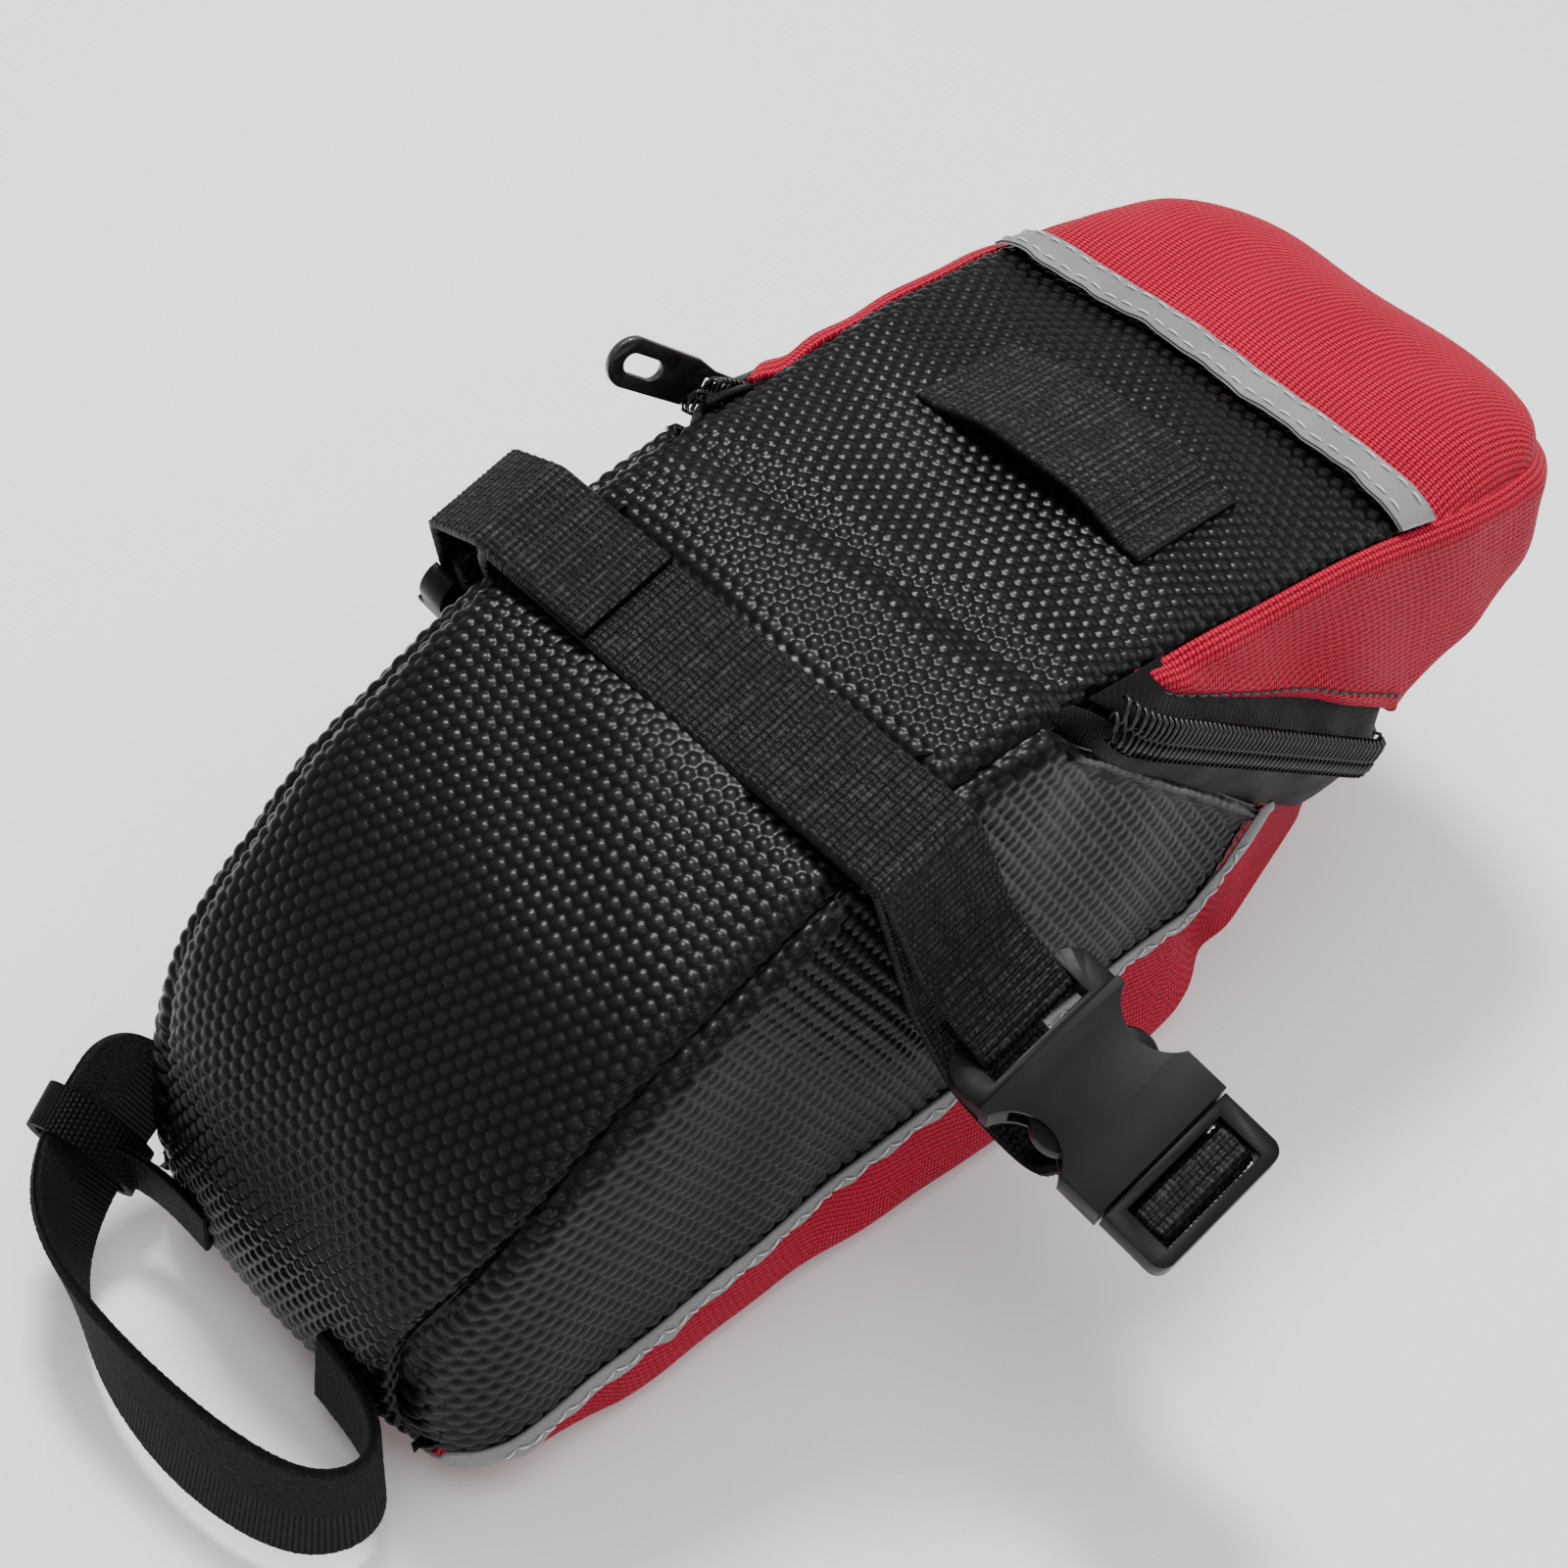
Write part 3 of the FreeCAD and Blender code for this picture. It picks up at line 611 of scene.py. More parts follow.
def side_grid(sign, n=480, m=192):
    """The panel, its points' places on flat cloth, and how far they are down it and past the top seam.
    Rows run along the bag, under the top seam and then the mouth's edge; columns run down it."""
    length_front = s_at(EDGE_FROM[0]) - TOP_START
    length_edge = math.dist(EDGE_FROM, EDGE_TO)
    total = length_front + length_edge
    t = np.linspace(0, total, n)
    on_top = t <= length_front
    share = climb(t, length_front, length_edge)
    ey = EDGE_FROM[0] + share * (EDGE_TO[0] - EDGE_FROM[0])
    ez = EDGE_FROM[1] + share * (EDGE_TO[1] - EDGE_FROM[1])
    ty, tz, tny, tnz = top_point(np.where(on_top, t + TOP_START, s_at(ey)))
    arc_y, arc_z = ty - tny * TOP_RADIUS, tz - tnz * TOP_RADIUS
    start_z = np.where(on_top, arc_z, np.minimum(arc_z, ez))
    front_share = np.clip(t / length_front, 0, 1)
    bottom_y = np.where(on_top, BOTTOM_START + (EDGE_FROM[0] - BOTTOM_START) * front_share ** 1.15, ey)
    bottom_z = seam_height(bottom_y)
    edge_angle = np.arccos(np.clip((ez - arc_z) / TOP_RADIUS, 0, math.cos(SEAM_ANGLE)))
    angle_from = np.where(on_top, SEAM_ANGLE, edge_angle)
    arc = TOP_RADIUS * (math.pi / 2 - angle_from)
    straight = np.hypot(bottom_y - arc_y, bottom_z - start_z)
    d = np.linspace(0, 1, m)[None, :] * (arc + straight)[:, None]
    on_arc = d < arc[:, None]
    angle = np.clip(angle_from[:, None] + d / TOP_RADIUS, 0, math.pi / 2)
    fraction = np.clip((d - arc[:, None]) / np.maximum(straight, 1e-6)[:, None], 0, 1)
    flat_y = arc_y[:, None] + fraction * (bottom_y - arc_y)[:, None]
    flat_z = start_z[:, None] + fraction * (bottom_z - start_z)[:, None]
    raise_by = TOP_RADIUS * np.cos(angle)
    gy = np.where(on_arc, arc_y[:, None] + raise_by * tny[:, None], flat_y)
    gz = np.where(on_arc, arc_z[:, None] + raise_by * tnz[:, None], flat_z)
    inward = np.where(on_arc, TOP_RADIUS * (1 - np.sin(angle)), 0)
    gx = half(gy) - inward
    unrolled = np.where(on_arc, arc[:, None] - d, 0)
    flat_u = np.where(on_arc, arc_y[:, None] + unrolled * tny[:, None], gy)
    flat_v = np.where(on_arc, start_z[:, None] + unrolled * tnz[:, None], gz)
    past_top = (t - length_front)[:, None] * np.ones((1, m))
    return np.stack([(gx - front_pinch(gy, gz)) * sign, gy, gz], -1), flat_u, flat_v, d, past_top


for name, sign in SIDES:
    grid, flat_u, flat_v, d, past_top = side_grid(sign)
    fade = seam_fade(grid, ("left", "right"))
    grid = swell(grid, ("left",), 1.9 * (1 - climb(past_top, 0, 5.0)), 3.0, 1.1)
    hem = climb(past_top, 0, 4.0) * bell(d, 1.6, 1.5)
    grid = grid + sideways_out(grid, sign) * (hem * 1.5)[..., None]
    grid, rise = dimple(grid, flat_u * 0.82, flat_v, 0.46, np.clip(1 - hem * 0.7, 0, 1) * fade)
    side = sheet("side_panel_" + name + "_cloth", grid, DIMPLED, "bag", 0.8, 6, rise)
    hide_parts("side_panel_" + name)

# ---- red base


def lower_edge(y):
    """Upper edge of the red cloth; it reaches a little way up behind the side panels."""
    behind = 3.0 * climb(y, 72.0, -8.0)
    return np.where(y < SIDE_CORNER[0], seam_height(y) + behind, mouth_height(y, -12.0))


near_rear = np.linspace(60, 92, 400)
REAR_END = near_rear[np.argmin(np.abs(lower_edge(near_rear) - low(near_rear) - 0.4))]
BASE_START = -65.6
n, m = 241, 331
y_line = -69 + (REAR_END + 69) * (0.5 - 0.5 * np.cos(np.linspace(0.25, math.pi - 0.1, n)))
y_line = BASE_START + (y_line - y_line[0]) / (y_line[-1] - y_line[0]) * (REAR_END - BASE_START)
y = y_line[:, None] * np.ones((1, m))
q_edge = around(y, np.maximum(lower_edge(y), low(y)))
q_all = whole_way(y)
a = np.linspace(-1, 1, m)[None, :]
q = q_all - np.abs(a) * (q_all - q_edge)
x, z = outline(y, q)
base_bulge = 2.2 * bell(z, 6, 12.0) * climb(y, -60, 20) * climb(y, 88, -20)
x = (x + base_bulge * (np.abs(a) > 0.3)) * np.sign(a + 1e-12)
base = swell(np.stack([x, y, z], -1), ("left", "right"), 0.5, 2.0)
base[..., 2] = np.maximum(base[..., 2], 0.0)
fold = 1.8 * bell(y - 66 + 0.55 * (z - 30), 0, 4.0) * (z > 6) * (z < 50)
fold *= climb(np.abs(x), 8, 12)
base[..., 0] -= fold * np.sign(a)
lower = sheet("base_cloth", base, RED, "bag", 1.4, 5)
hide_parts("lower_panel")

# ---- zip


def mouth_line(d, count=361):
    """Where the plane d millimetres above the mouth cuts the bag, from the left top round the rear."""
    start = HINGE_Y + (HINGE_Z + d / MOUTH_COS - MOUTH_TOP) / MOUTH_DROP
    a, b = 80.0, 125.0
    for _ in range(40):
        middle = (a + b) / 2
        if mouth_height(middle, d) > low(middle):
            a = middle
        else:
            b = middle
    y = start + (a - start) * np.sin(np.linspace(0, math.pi / 2, 300))
    z = mouth_height(y, d)
    x, _ = outline(y, around(y, z))
    across = np.linspace(x[-1], 0, 60)[1:]
    points = np.stack([np.concatenate([x, across]), np.concatenate([y, np.full(59, a)]),
                       np.concatenate([z, np.full(59, z[-1])])], -1)
    mirrored = points[::-1][1:] * np.array([-1, 1, 1])
    full = np.concatenate([points, mirrored])[::-1]
    length = distances(full)
    even = np.linspace(0, length[-1], count)
    return blur(resample(even, length, full), 3)


def proud(points):
    """How far the zip stands out from the bag: more on the right and at the rear than by the slider."""
    share = climb(points[..., 0], -34.0, 30.0)
    share = share * share * (3 - 2 * share)
    front = climb(points[..., 1], 26.0, 14.0)
    tucked = climb(points[..., 1], 32.0, -7.0)
    return 1.9 * share * front - 0.9 * (1 - share) - 3.4 * tucked * tucked


def zip_tape(name, levels, bow, body, node):
    """A tape between the given levels above the mouth, standing out by bow at each of them."""
    band = np.stack([mouth_line(d) for d in levels], 0)
    out = away_from(ZIP_MIDDLE, band, normals(band))
    bow = bow[:, None]
    stand = proud(band)
    stand = np.where(stand > 0, stand * climb(bow, -1.4, 3.0), stand)
    raised = band + out * (bow + stand)[..., None]
    made = sheet(name, raised, TAPE_CLOTH, body, 0.7, 4, centre=ZIP_MIDDLE)
    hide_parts(node)


zip_tape("zip_tape_body_cloth", np.linspace(-13.0, -0.5, 17),
         3.0 * np.linspace(0, 1, 17) ** 0.7 - 1.4, "bag", "zip_tape_body")
zip_tape("zip_tape_hood_cloth", np.linspace(0.5, 8.3, 13),
         2.6 * np.linspace(1, 0, 13) ** 0.8 - 1.0, "hood", "zip_tape_hood")


def tubes(paths, radius, sides=6):
    """Vertices and faces of closed round tubes along many paths of equal length."""
    paths = np.asarray(paths, float)
    count, points = paths.shape[:2]
    tangent = unit(np.gradient(paths, axis=1))
    helper = np.where(np.abs(tangent[..., 2:3]) < 0.8, UP, REARWARD)
    first = unit(np.cross(tangent, helper))
    second = np.cross(tangent, first)
    size = np.full(points, radius)
    size[0] = size[-1] = radius * 0.55
    angles = np.arange(sides) * 2 * math.pi / sides
    ring = (first[..., None, :] * np.cos(angles)[:, None]
            + second[..., None, :] * np.sin(angles)[:, None])
    verts = paths[..., None, :] + ring * size[None, :, None, None]
    faces = []
    for k in range(count):
        start = k * points * sides
        faces += quads(points, sides, start, True, True)
        faces.append(list(range(start, start + sides)))
        end = start + (points - 1) * sides
        faces.append(list(range(end + sides - 1, end - 1, -1)))
    return verts.reshape(-1, 3), faces


TOOTH, COIL_RADIUS = 1.3, 0.34
chain_length = np.linalg.norm(np.diff(mouth_line(0), axis=0), axis=1).sum()
TEETH = int(chain_length / TOOTH)


def coil(name, sign, shift, body, node):
    """Nylon coil: one loop per tooth, reaching over the middle to lock with the other side.
    sign says which side of the middle the coil is sewn to; shift puts its loops between the other's."""
    reach = np.array([2.9, 3.15, 2.7, 1.6, 0.4, -0.5, -0.35, 0.5]) * sign
    rise = np.array([1.4, 2.1, 2.8, 3.0, 3.0, 2.6, 2.0, 1.7])
    middle = mouth_line(0, TEETH * 2 + 1)
    along = directions(middle)
    wide = mouth_line(2.0, len(middle)) - mouth_line(-2.0, len(middle))
    wide = unit(wide - along * np.sum(wide * along, axis=-1, keepdims=True))
    n = away_from(ZIP_MIDDLE, middle, np.cross(along, wide))
    middle = middle + n * proud(middle)[:, None]
    paths = (middle[:, None] + wide[:, None] * reach[None, :, None] + n[:, None] * rise[None, :, None]
             + along[:, None] * np.linspace(-0.28, 0.28, len(reach))[None, :, None])
    verts, faces = tubes(paths[shift::2][3:-3], COIL_RADIUS)
    obj = new_object(name, verts, faces, COIL)
    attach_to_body(obj, body)
    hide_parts(node)


coil("coil_body", -1, 0, "bag", "zip_coil_body")
coil("coil_hood", 1, 1, "hood", "zip_coil_hood")

# ---- red hood


def hem_height(y):
    """The hem stands a little higher above the zip towards the rear."""
    return mouth_height(y, 4.4 + 2.8 * climb(y, 38.0, 40.0))


hem_y = np.linspace(80, 125, 900)
HEM_END = hem_y[np.argmin(np.abs(hem_height(hem_y) - low(hem_y)))]
HEM_START = HINGE_Y + 4.4 / MOUTH_COS / MOUTH_DROP + 2.6


def gusset_grid(sign, n=200, m=91):
    y = (HEM_START + (REAR_Y - HEM_START) * np.linspace(0, 1, n))[:, None] * np.ones((1, m))
    q_top = half(y) - TOP_RADIUS + TOP_RADIUS * SEAM_ANGLE
    hem_z = np.clip(hem_height(y), low(y) + 0.05, high(y) - 0.5)
    q_hem = around(y, hem_z)
    q_under = whole_way(y) - (half(y) - INSET)
    past = np.clip((y - HEM_END + 3) / 3, 0, 1)
    q_low = np.where(y < HEM_END - 3, q_hem, q_hem * (1 - past) + q_under * past)
    q = q_top + np.linspace(0, 1, m)[None, :] * (q_low - q_top)
    x, z = outline(y, q)
    grid = np.stack([x * sign, y, z], -1)
    last = grid[-1].copy()
    last[:, 0] = sign * np.minimum(np.abs(last[:, 0]), half(REAR_Y) - INSET)
    last[:, 1] += 0.3
    return np.concatenate([grid, last[None]])


gusset_grids, strip_grids = {}, {}
for name, sign in SIDES:
    grid = swell(gusset_grid(sign), ("left",), 0.8, 2.2, 1.0 if sign > 0 else 3.2)
    from_hem = edge_distance(grid, ("right",))
    hem = bell(from_hem, 1.7, 1.9) * (grid[..., 1] < HEM_END)
    slant = grid[..., 1] * 0.62 + grid[..., 2] * 0.45
    wrinkle = 0.42 * np.sin(slant * 0.52 + 0.8 * np.sin(from_hem * 0.14))
    wrinkle = wrinkle * bell(from_hem, 9, 9.0) * climb(from_hem, 2.5, 3.0)
    grid = grid + sideways_out(grid, sign) * (hem * 1.1 + wrinkle)[..., None]
    gusset_grids[name] = grid
    gusset = sheet("gusset_" + name, grid, RED, "hood", 1.3, 5, centre=(0, 90, 72))
    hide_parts("hood_gusset_" + name)

n_top, n_cap, n_under, m = 121, 21, 101, 201
y_top = np.linspace(95.5, REAR_Y, n_top)
y_under = np.linspace(REAR_Y, HEM_END, n_under)
a = np.linspace(-1, 1, m)[None, :]
width_top = (half(y_top) - INSET)[:, None]
width_under = (half(y_under) - INSET)[:, None]
edge_top = outline(y_top, half(y_top) - TOP_RADIUS + TOP_RADIUS * SEAM_ANGLE)[1]
curl = np.clip((np.abs(a) * width_top - width_top + 1.6) / 1.6, 0, 1) ** 2
curl = (high(y_top) - edge_top)[:, None] * curl
upper = np.stack([a * width_top, y_top[:, None] + 0 * a, high(y_top)[:, None] - curl], -1)
under = np.stack([a * width_under, y_under[:, None] + 0 * a, low(y_under)[:, None] + 0 * a], -1)
cap_z = np.linspace(high(REAR_Y), low(REAR_Y), n_cap + 2)[1:-1, None]
cap_out = 1.2 * np.sin(np.linspace(0, math.pi, n_cap + 2))[1:-1, None]
cap = np.stack([a * (half(REAR_Y) - INSET) + 0 * cap_z, REAR_Y + cap_out + 0 * a, cap_z + 0 * a], -1)
rear = np.concatenate([upper, cap, under])
rear = np.concatenate([rear[:40], blur(rear, 4)[40:]])
along_middle = run_length(rear, 0)[:, m // 2]
fullness = np.sin(math.pi * np.clip(along_middle / along_middle[n_top + n_cap - 1], 0, 1)) ** 0.8
rear = swell(rear, ("left", "right"), 0.8, 2.2, 0.8)
n = away_from(REAR_MIDDLE, rear, normals(rear))
rear = rear + n * (4.2 * fullness[:, None] * (1 - a ** 8))[..., None]
rear = sheet("rear_cloth", rear, RED, "hood", 1.3, 5, centre=REAR_MIDDLE)
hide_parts("rear_panel")

# ---- webbing
RIBBON_STEP, BEAD, SELVEDGE = 0.3, 0.9, 1.2


def rounded(points):
    """Open path in a plane with its corners rounded; each point is (a, b, radius)."""
    out = [np.array(points[0][:2], float)]
    for i in range(1, len(points) - 1):
        before, here, after = (np.array(points[j][:2], float) for j in (i - 1, i, i + 1))
        into, leave = before - here, after - here
        into_length, leave_length = np.linalg.norm(into), np.linalg.norm(leave)
        into, leave = into / into_length, leave / leave_length
        turn = math.acos(max(-1, min(1, float(into @ leave))))
        cut = min(points[i][2] / math.tan(turn / 2), 0.49 * into_length, 0.49 * leave_length)
        start, end = here + into * cut, here + leave * cut
        for t in np.linspace(0, 1, 12):
            out.append((1 - t) ** 2 * start + 2 * t * (1 - t) * here + t ** 2 * end)
    out.append(np.array(points[-1][:2], float))
    out = np.array(out)
    length = distances(out)
    even = np.linspace(0, length[-1], max(int(length[-1] / RIBBON_STEP), 8))
    return resample(even, length, out)


def ribbon(name, centre, across, width, thickness, material, bodies, rib=1.3, rib_height=0.34,
           columns=40, taper=0.0, fuzz=0.0, face=1):
    """A flat woven band along a path, with weft ribs across it and a rounded selvedge. face turns its
    outer side round, taper is the length of its rounded end and fuzz the roughness of its faces."""
    count = len(centre)
    outward = np.cross(directions(centre), across) * face
    travel = distances(centre)
    u = np.linspace(-1, 1, columns)
    rim = SELVEDGE / width
    edge = np.sqrt(np.clip(1 - ((np.abs(u) - 1 + rim) / rim) ** 2, 0, 1))
    edge = np.where(np.abs(u) > 1 - rim, edge, 1.0)
    narrowing = np.ones(count)
    if taper:
        left = np.clip((travel[-1] - travel) / taper, 0, 1)
        narrowing = np.sqrt(np.clip(1 - (1 - left) ** 2, 0.02, 1))
    half_width = width / 2 * narrowing
    row = np.floor(travel / rib)
    ridge = np.abs(np.sin(math.pi * travel / rib))[:, None]
    bead = np.abs(np.sin(math.pi * (u[None, :] * width / 2 / BEAD + (row % 2)[:, None] / 2)))
    lift = rib_height * ridge * (0.3 + 0.7 * bead) * edge[None, :]
    if fuzz:
        lift = lift + rng.normal(0, fuzz, lift.shape) * edge[None, :]
    flat = centre[:, None, :] + u[None, :, None] * half_width[:, None, None] * across[:, None, :]
    raised = outward[:, None, :] * (thickness / 2 * edge[None, :] + lift)[..., None]
    loop = np.concatenate([flat + raised, (flat - raised)[:, ::-1]], 1)
    around_count = loop.shape[1]
    faces = quads(count, around_count, 0, False, True)
    faces.append(list(range(around_count - 1, -1, -1)))
    faces.append(list(range((count - 1) * around_count, count * around_count)))
    width_at = np.concatenate([u, u[::-1]]) * width / 2 + width / 2
    uvs = np.stack([np.broadcast_to(width_at, (count, around_count)),
                    np.broadcast_to(travel[:, None], (count, around_count))], -1)
    # The height attribute, which the webbing colour turns into painted highlight on the ribs and
    # painted shade in the gaps.
    relief = np.clip(np.concatenate([lift, lift[:, ::-1]], 1) / rib_height, 0, 1)
    obj = new_object(name, loop.reshape(-1, 3), faces, material, uvs.reshape(-1, 2), relief)
    attach(obj, bodies)
    return obj


WIDE, THICK, STRAP_Y = 16.0, 1.4, -0.5
below, above = stations[5], stations[6]
STRAP_SLOPE = math.atan2(above[2] - below[2], above[0] - below[0])
STRAP_Z = below[2] + (STRAP_Y - below[0]) * math.tan(STRAP_SLOPE)


def on_crest(points):
    """From the strap's flat frame (x outwards, y across, z off the fabric) to the bag."""
    points = np.asarray(points, float)
    c, sn = math.cos(STRAP_SLOPE), math.sin(STRAP_SLOPE)
    return np.stack([points[..., 0], STRAP_Y + points[..., 1] * c - points[..., 2] * sn,
                     STRAP_Z + points[..., 1] * sn + points[..., 2] * c], -1)


def strap_band(name, path, sign, bodies, node):
    """A band along path, given as (x, z) in the strap's flat frame and mirrored if sign is -1."""
    flat = np.stack([path[:, 0] * sign, np.zeros(len(path)), path[:, 1]], -1)
    centre = on_crest(flat)
    across = on_crest(flat + REARWARD) - centre
    band = ribbon(name, centre, across, WIDE, THICK, WEBBING, bodies, face=-sign)
    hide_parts(*node)


class Arm:
    """A buckle's own frame, hanging by droop degrees from (x, z) in the strap's flat frame."""

    def __init__(self, sign, x, z, droop):
        self.sign, self.x, self.z, self.droop = sign, x, z, math.radians(droop)

    def flat(self, along, out):
        c, sn = math.cos(self.droop), math.sin(self.droop)
        return (self.x + along * c + out * sn, self.z - along * sn + out * c)

    def world(self, along, across, out):
        x, z = self.flat(along, out)
        return on_crest(np.array([x * self.sign, across, z]))


right_arm, left_arm = Arm(1, 51.0, -29.0, 12), Arm(-1, 51.0, -21.0, 79)
SLOT_IN, SLOT_OUT = 27.1, 31.4  # where the webbing passes the male buckle, along the arm
base_path = np.stack([np.linspace(-31, 31, 207), np.full(207, 0.7)], -1)
strap_band("strap_base_band", base_path, 1, "bag", ["strap_base"])
for name, arm, upper_bends, lower_bends in (
        ("right", right_arm, [(39.6, 2.1, 3), (43.0, -18.0, 8)],
         [(37.7, 0.7, 1.4), (37.9, -33.0, 12), (43.0, -52.0, 8), (57.0, -58.0, 10)]),
        ("left", left_arm, [(36.5, 2.1, 4), (49.5, -6.0, 5)],
         [(35.9, 0.7, 1.5), (38.0, -4.0, 5), (38.6, -22.0, 20), (39.2, -34.0, 8)])):
    upper_path = rounded([(15.0, 2.1, 0)] + upper_bends + [
        (*arm.flat(0.85, 2.15), 1.8), (*arm.flat(0.85, -2.15), 1.8), (*arm.flat(-7, -2), 0)])
    strap_band("strap_upper_" + name + "_band", upper_path, arm.sign, "bag", ["strap_upper_" + name])
    slack = [arm.flat(a, b) for a, b in (
        (SLOT_IN - 6.6, -8), (SLOT_IN, -6), (SLOT_IN, 1.9), (SLOT_OUT, 1.9), (SLOT_OUT, -6),
        (SLOT_IN + 0.6, -10.5))]
    before = np.array(slack[0]) + 5 * (np.array(slack[0]) - slack[1]) / math.dist(slack[0], slack[1])
    lower_path = rounded([(31.0, 0.7, 0)] + lower_bends + [
        (*point, radius) for point, radius in zip((before, *slack[1:]), (6, 2, 1.2, 1.2, 3, 0))])
    begin = on_crest(np.array([40.0 * arm.sign, 0, -45.0 if arm.sign > 0 else -20.0]))
    end = arm.world(SLOT_IN - 4, 0, -6)
    strap_band("strap_lower_" + name + "_band", lower_path, arm.sign,
               ("bag", "male_" + name, tuple(begin * MM), tuple(end * MM)),
               ["strap_lower_" + name, "strap_adjuster_" + name])

# ---- light loop
LOOP_X, LOOP_Y, LOOP_WIDTH = 3.0, 61.8, 20.0
low_z = HINGE_Z + 0.7
loop_path = rounded([(LOOP_X + x, low_z + z, radius) for x, z, radius in (
    (-20.5, 1.2, 0), (-17, 1.4, 6), (-9, 4.2, 18), (9, 4.2, 18), (17, 1.4, 6), (20.5, 1.2, 0))])
centre = np.stack([loop_path[:, 0], np.full(len(loop_path), LOOP_Y), loop_path[:, 1]], -1)
across = np.tile(REARWARD, (len(centre), 1))
loop = ribbon("light_loop_band", centre, across, LOOP_WIDTH, THICK, LOOP_WEBBING,
              "hood")
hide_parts("light_loop")

# ---- reflective tapes
TAPE_Y, TAPE_WIDTH = 90.3, 7.4
n, m = 25, 241
a = np.linspace(-1, 1, m)[None, :]
wave = 0.3 * np.sin(a * 19 + 0.6) + 0.14 * np.sin(a * 43 + 1.1)
y = np.linspace(0, 1, n)[:, None] * TAPE_WIDTH + TAPE_Y + wave * (1 - np.linspace(0, 1, n))[:, None]
x = a * (half(y) - INSET - 0.5)
z = high(y) - edge_drop(x, y) + 2.0 - 2.6 * np.abs(a) ** 14
z += (0.2 * np.sin(a * 31) * np.sin(np.linspace(0, math.pi, n))[:, None]
      + 0.9 * bell(y, 70, 45) * (1 - (x / 40) ** 2))
reflector_grid = swell(np.stack([x, y, z], -1), (), bulge=0.9)
reflector = sheet("reflector_tape", reflector_grid, REFLECTIVE, "hood", 0.5, 4,
                  centre=(0, 94, 60))
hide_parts("reflector")

for name, sign in SIDES:
    y = np.linspace(-64.5, 74.6, 321)
    height = np.interp(y, [-67, 40, 75], [4.4, 3.4, 2.2])
    wavy = 0.30 * np.sin(y * 0.55) + 0.22 * np.sin(y * 1.15 + 1.0) + 0.12 * np.sin(y * 2.1)
    t = np.linspace(0, 1, 11)[:, None]
    z = seam_height(y)[None, :] + 1.3 - t * (height + wavy * t)
    yy = y[None, :] + 0 * z
    x = outline(yy, around(yy, np.maximum(z, low(yy) + 0.2)))[0]
    proud_by = (1.0 + 0.5 * np.sin(math.pi * t)) * climb(yy, -64.5, 6.0)
    grid = np.stack([(x - 0.5 * front_pinch(yy, z) + proud_by) * sign, yy, z], -1)
    grid[..., 0] += 0.35 * np.sin(yy * 0.8 + 2 * t) * t * sign
    grid = swell(grid, (), bulge=0.9)
    strip_grids[name] = grid
    strip_piece = sheet("seam_strip_" + name + "_tape", grid, REFLECTIVE, "bag",
                        0.6, 5)
    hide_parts("seam_strip_" + name)

# ---- seatpost strap and keeper


def spline(points, count):
    """Smooth curve through control points (uniform cubic B-spline, ends kept)."""
    points = np.asarray(points, float)
    points = np.concatenate([2 * points[:1] - points[1:2], points, 2 * points[-1:] - points[-2:-1]])
    t = np.linspace(0, len(points) - 3, count)
    i = np.minimum(t.astype(int), len(points) - 4)
    f = (t - i)[:, None]
    p0, p1, p2, p3 = points[i], points[i + 1], points[i + 2], points[i + 3]
    return ((1 - f) ** 3 * p0 + (3 * f ** 3 - 6 * f ** 2 + 4) * p1
            + (-3 * f ** 3 + 3 * f ** 2 + 3 * f + 1) * p2 + f ** 3 * p3) / 6


# x, y, height of the middle, lean of the band outwards in degrees
post_points = [(12, -70.4, 13, 0), (23, -70.6, 12.5, 0), (32, -74.5, 12, 4), (29.5, -85.5, 12, 12),
               (10, -91.0, 12.5, 14), (-11, -91.0, 13.5, -2), (-25.5, -86.0, 15.5, -24),
               (-33.0, -74.5, 19, -33), (-37.0, -61.5, 23, -36)]
post = spline(post_points, 560)
centre = post[:, :3]
tangent = directions(centre)
lean = np.radians(post[:, 3])[:, None]
flat_out = unit(np.cross(tangent, UP))
across = UP * np.cos(lean) + flat_out * np.sin(lean)
across = unit(across - tangent * np.sum(across * tangent, axis=1, keepdims=True))
post_strap = ribbon("seatpost_band", centre, across, WIDE, 1.5, PILE, "bag", rib=0.7,
                    rib_height=0.06, taper=8.0, fuzz=0.035)
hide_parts("seatpost_strap")

# The keeper is an oval ring in the strap's own frame, where the strap passes KEEPER_Y on the left.
KEEPER_Y, RING_HALF_X, RING_HALF_UP, RING_HALF_WIDTH, RING_HALF_WALL = -75.5, 2.9, 9.6, 3.2, 0.6
keeper_at = np.argmin(np.abs(centre[:, 1] - KEEPER_Y) + 100 * (centre[:, 0] > 0))
keeper_centre, ring_y, ring_up = centre[keeper_at], tangent[keeper_at], across[keeper_at]
ring_x = np.cross(ring_y, ring_up)
angles = np.linspace(0, 2 * math.pi, 121)[:-1]
cos_x, sin_up = np.cos(angles)[:, None], np.sin(angles)[:, None]
ring_path = keeper_centre + cos_x * RING_HALF_X * ring_x + sin_up * RING_HALF_UP * ring_up
radial = unit(cos_x * ring_x / RING_HALF_X + sin_up * ring_up / RING_HALF_UP)
u = np.linspace(-1, 1, 21)
wall = radial[:, None, :] * RING_HALF_WALL
ring = ring_path[:, None, :] + u[None, :, None] * RING_HALF_WIDTH * ring_y
ring = np.concatenate([ring + wall, ring[:, ::-1] - wall], 1)
ring = np.concatenate([ring, ring[:1]])
n, m = ring.shape[:2]
uvs = np.stack([np.broadcast_to(np.arange(m) * 0.4, (n, m)),
                np.broadcast_to(np.arange(n)[:, None] * 0.4, (n, m))], -1)
keeper = new_object("keeper_band", ring.reshape(-1, 3), quads(n, m, 0, False, True), ELASTIC,
                    uvs.reshape(-1, 2))
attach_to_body(keeper, "bag")
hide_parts("strap_keeper")
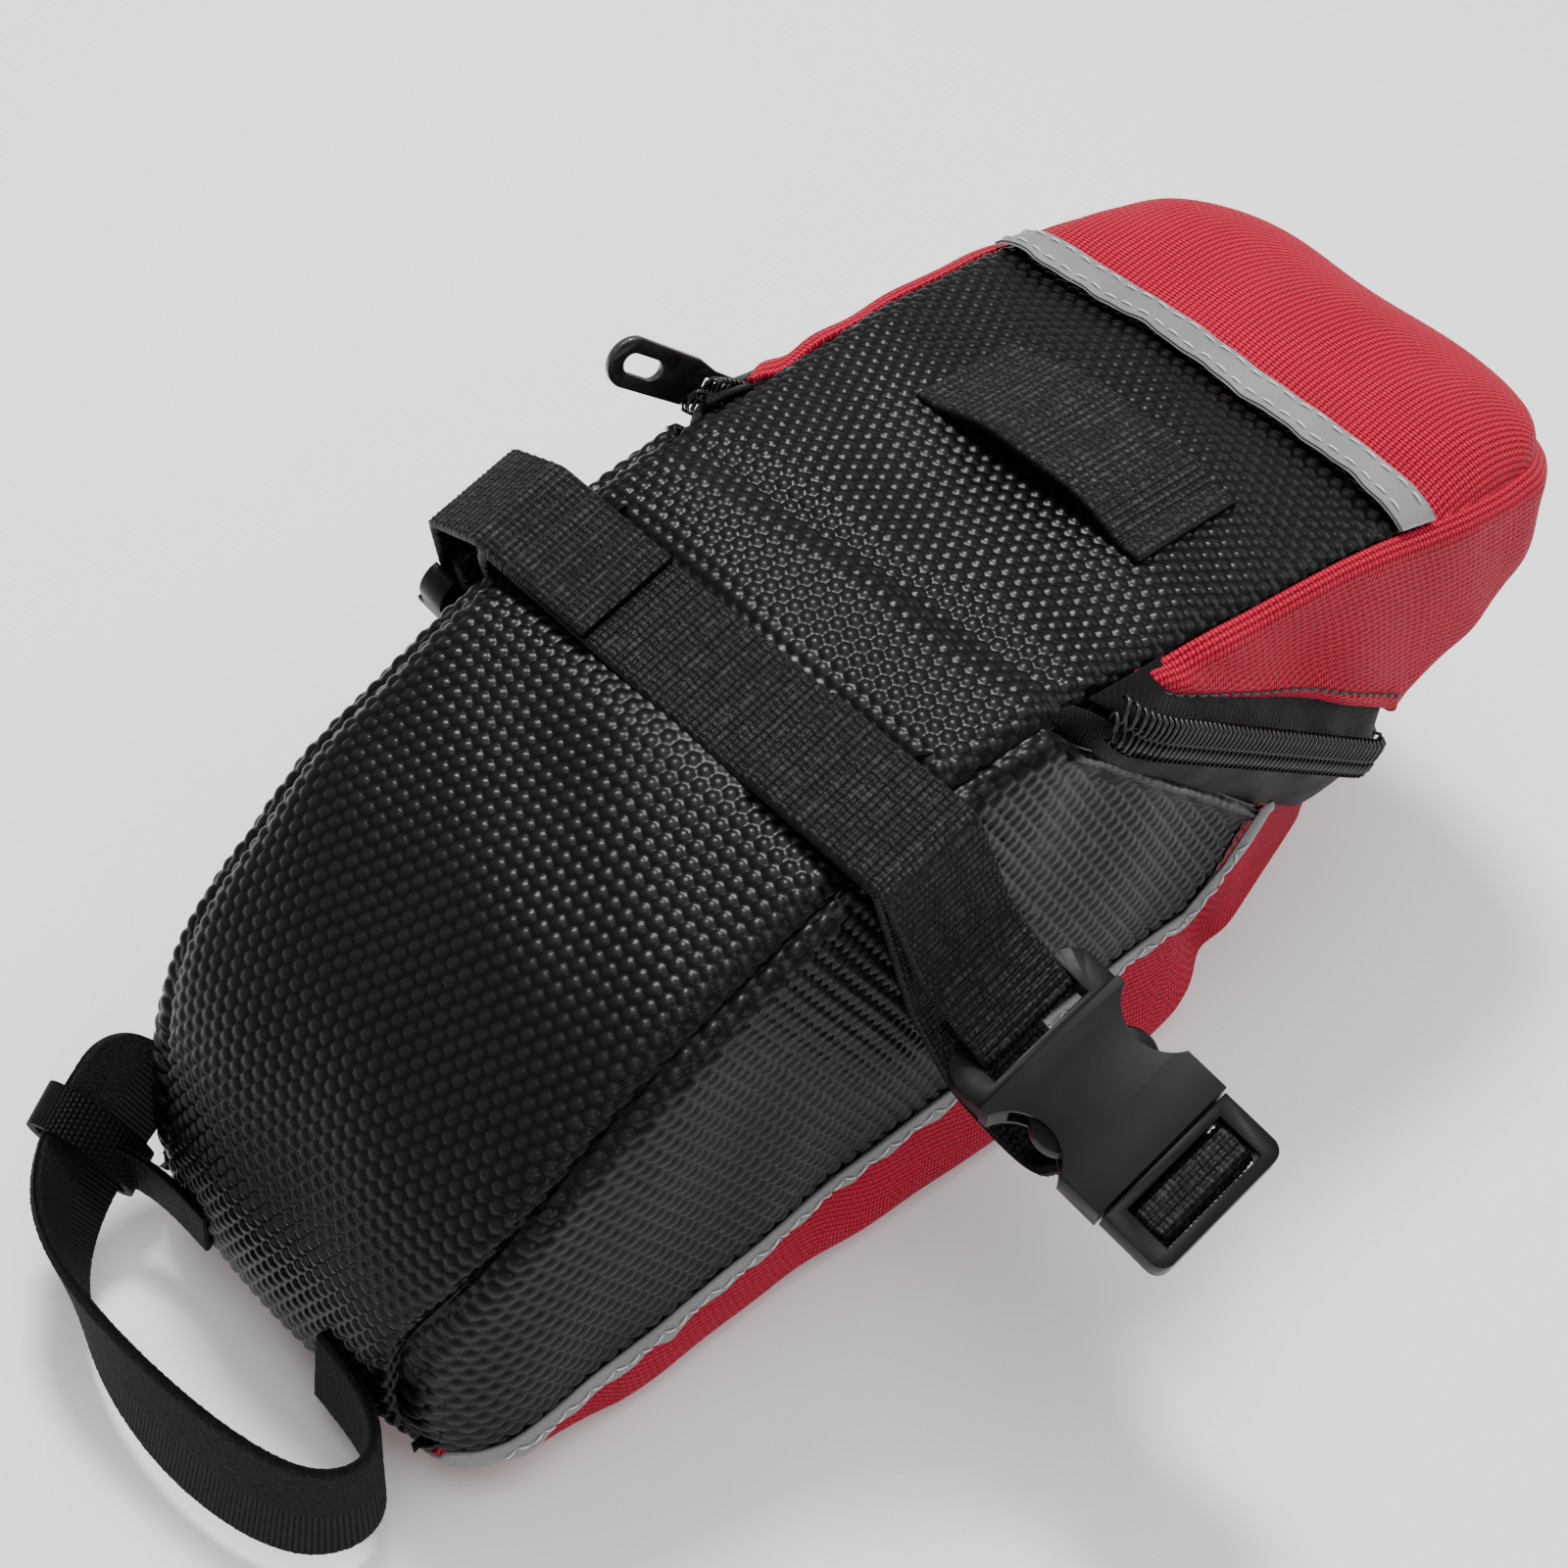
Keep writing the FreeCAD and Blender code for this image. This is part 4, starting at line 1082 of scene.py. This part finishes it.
tail_line = spline([(-31.5, -74.8, 15), (-27, -72.6, 15), (-21, -71.0, 15), (-12, -70.9, 15)], 80)
across = np.tile(UP, (len(tail_line), 1))
ribbon("keeper_tail", tail_line, across, 8.0, 1.1, ELASTIC, "bag", rib=0.8,
       rib_height=0.06, columns=20)

# ---- stitching


STITCH_RISE = 0.15


def stitches(name, path, outward, material, body, length, gap, radius, zigzag=0.0):
    """Short thread stitches along a line of points, each bowed outward over the cloth."""
    path = path + outward * 0.1
    travel = distances(path)
    bow = np.array([-0.25, 0.7, 1.0, 0.7, -0.25])[:, None] * STITCH_RISE
    paths = []
    for k, start in enumerate(np.arange(0.5, travel[-1] - length, length + gap)):
        at = start + np.linspace(0, length, len(bow))
        points = resample(at, travel, path)
        way = resample(start, travel, outward)
        if zigzag:
            direction = points[-1] - points[0]
            sideways = np.cross(direction, way)
            sideways /= np.linalg.norm(sideways)
            lean_by = np.linspace(-1, 1, 5)[:, None] * (1 if k % 2 else -1)
            points = points + sideways * lean_by * zigzag
        paths.append(points + way * bow)
    verts, faces = tubes(np.array(paths), radius, 5)
    obj = new_object(name, verts, faces, material)
    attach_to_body(obj, body)


def grid_line(grid, row=None, column=None):
    """A line of a panel's points and the outward directions along it."""
    n = away_from((0, 60, 60), grid, normals(grid))
    if row is not None:
        return grid[row], n[row]
    return grid[:, column], n[:, column]


for name, row in (("lower", 5), ("upper", 20)):
    line, out = grid_line(reflector_grid, row=row)
    stitches("reflector_stitch_" + name, line, out, GREY_THREAD, "hood", 2.2, 0.8, 0.17)

for name in ("right", "left"):
    line, out = grid_line(strip_grids[name], row=4)
    stitches("seam_stitch_" + name, line[12:-8], out[12:-8], GREY_THREAD, "bag", 1.7, 0.35, 0.15, 0.45)
    grid = gusset_grids[name]
    keep = grid[:, 0, 1] < HEM_END - 2
    line, out = grid_line(grid, column=grid.shape[1] - 9)
    stitches("hem_stitch_" + name, line[keep], out[keep], BLACK_THREAD, "hood", 2.2, 0.5, 0.24)

# ---- hard parts


def soften(node, width, material, body):
    """A copy of a hard CAD piece with its sharp moulding edges rounded off, width millimetres wide."""
    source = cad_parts[node]
    copy = bpy.data.objects.new(node + "_soft", source.data.copy())
    bpy.context.scene.collection.objects.link(copy)
    copy.data.materials.clear()
    copy.data.materials.append(material)
    bpy.context.view_layer.objects.active = copy
    for kind, settings in (
            ("WELD", {"merge_threshold": 1e-6}),
            ("DECIMATE", {"decimate_type": "DISSOLVE", "angle_limit": math.radians(1.0)}),
            ("BEVEL", {"width": width * MM, "segments": 3, "limit_method": "ANGLE",
                       "angle_limit": math.radians(32), "use_clamp_overlap": True,
                       "harden_normals": True})):
        modifier = copy.modifiers.new(kind, kind)
        for key, value in settings.items():
            setattr(modifier, key, value)
    bpy.context.view_layer.update()
    evaluated = copy.evaluated_get(bpy.context.evaluated_depsgraph_get())
    mesh = bpy.data.meshes.new_from_object(evaluated)
    copy.modifiers.clear()
    copy.data = mesh
    mesh.polygons.foreach_set("use_smooth", [True] * len(mesh.polygons))
    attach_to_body(copy, body)
    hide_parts(node)


for side in ("right", "left"):
    soften("buckle_female_" + side, 0.45, PLASTIC, "bag")
    soften("buckle_male_" + side, 0.35, PLASTIC, "male_" + side)
    for end in ("front", "rear"):
        soften("prong_" + side + "_" + end, 0.35, PLASTIC,
               "latch_" + side + "_" + end)
soften("zip_slider", 0.22, PAINT, "slider")
soften("zip_pull", 0.22, PAINT, "pull")

# ---- floor and light


def pale_floor():
    bpy.ops.mesh.primitive_plane_add(size=6, location=(0, 0, -0.0006))
    floor = bpy.context.active_object
    floor.name = "floor"
    floor.data.materials.append(plain_material("floor_white", 0.9, (3, (0.3, (0.90,)), (0.7, (0.93,)))))


def lamp(name, energy, size, location):
    """A square lamp of energy watts and size metres that shines at the bag."""
    data = bpy.data.lights.new(name, "AREA")
    data.energy = energy
    data.size = size
    obj = bpy.data.objects.new(name, data)
    bpy.context.scene.collection.objects.link(obj)
    obj.location = location
    direction = np.array((0, 0.02, 0.05)) - np.array(location)
    obj.rotation_euler = Vector(direction).to_track_quat("-Z", "Y").to_euler()


pale_floor()
lamp("key", 7.5, 0.16, (-0.26, 0.12, 0.80))
lamp("top", 3.4, 0.6, (0.10, -0.10, 0.95))
lamp("fill", 1.3, 0.3, (0.70, -0.40, 0.60))
lamp("rim", 2.0, 0.5, (0.25, 0.75, 0.6))
world = bpy.data.worlds.new("studio")
world.use_nodes = True
background = world.node_tree.nodes["Background"]
background.inputs["Color"].default_value = (1, 1, 1, 1)
background.inputs["Strength"].default_value = 0.65
bpy.context.scene.world = world
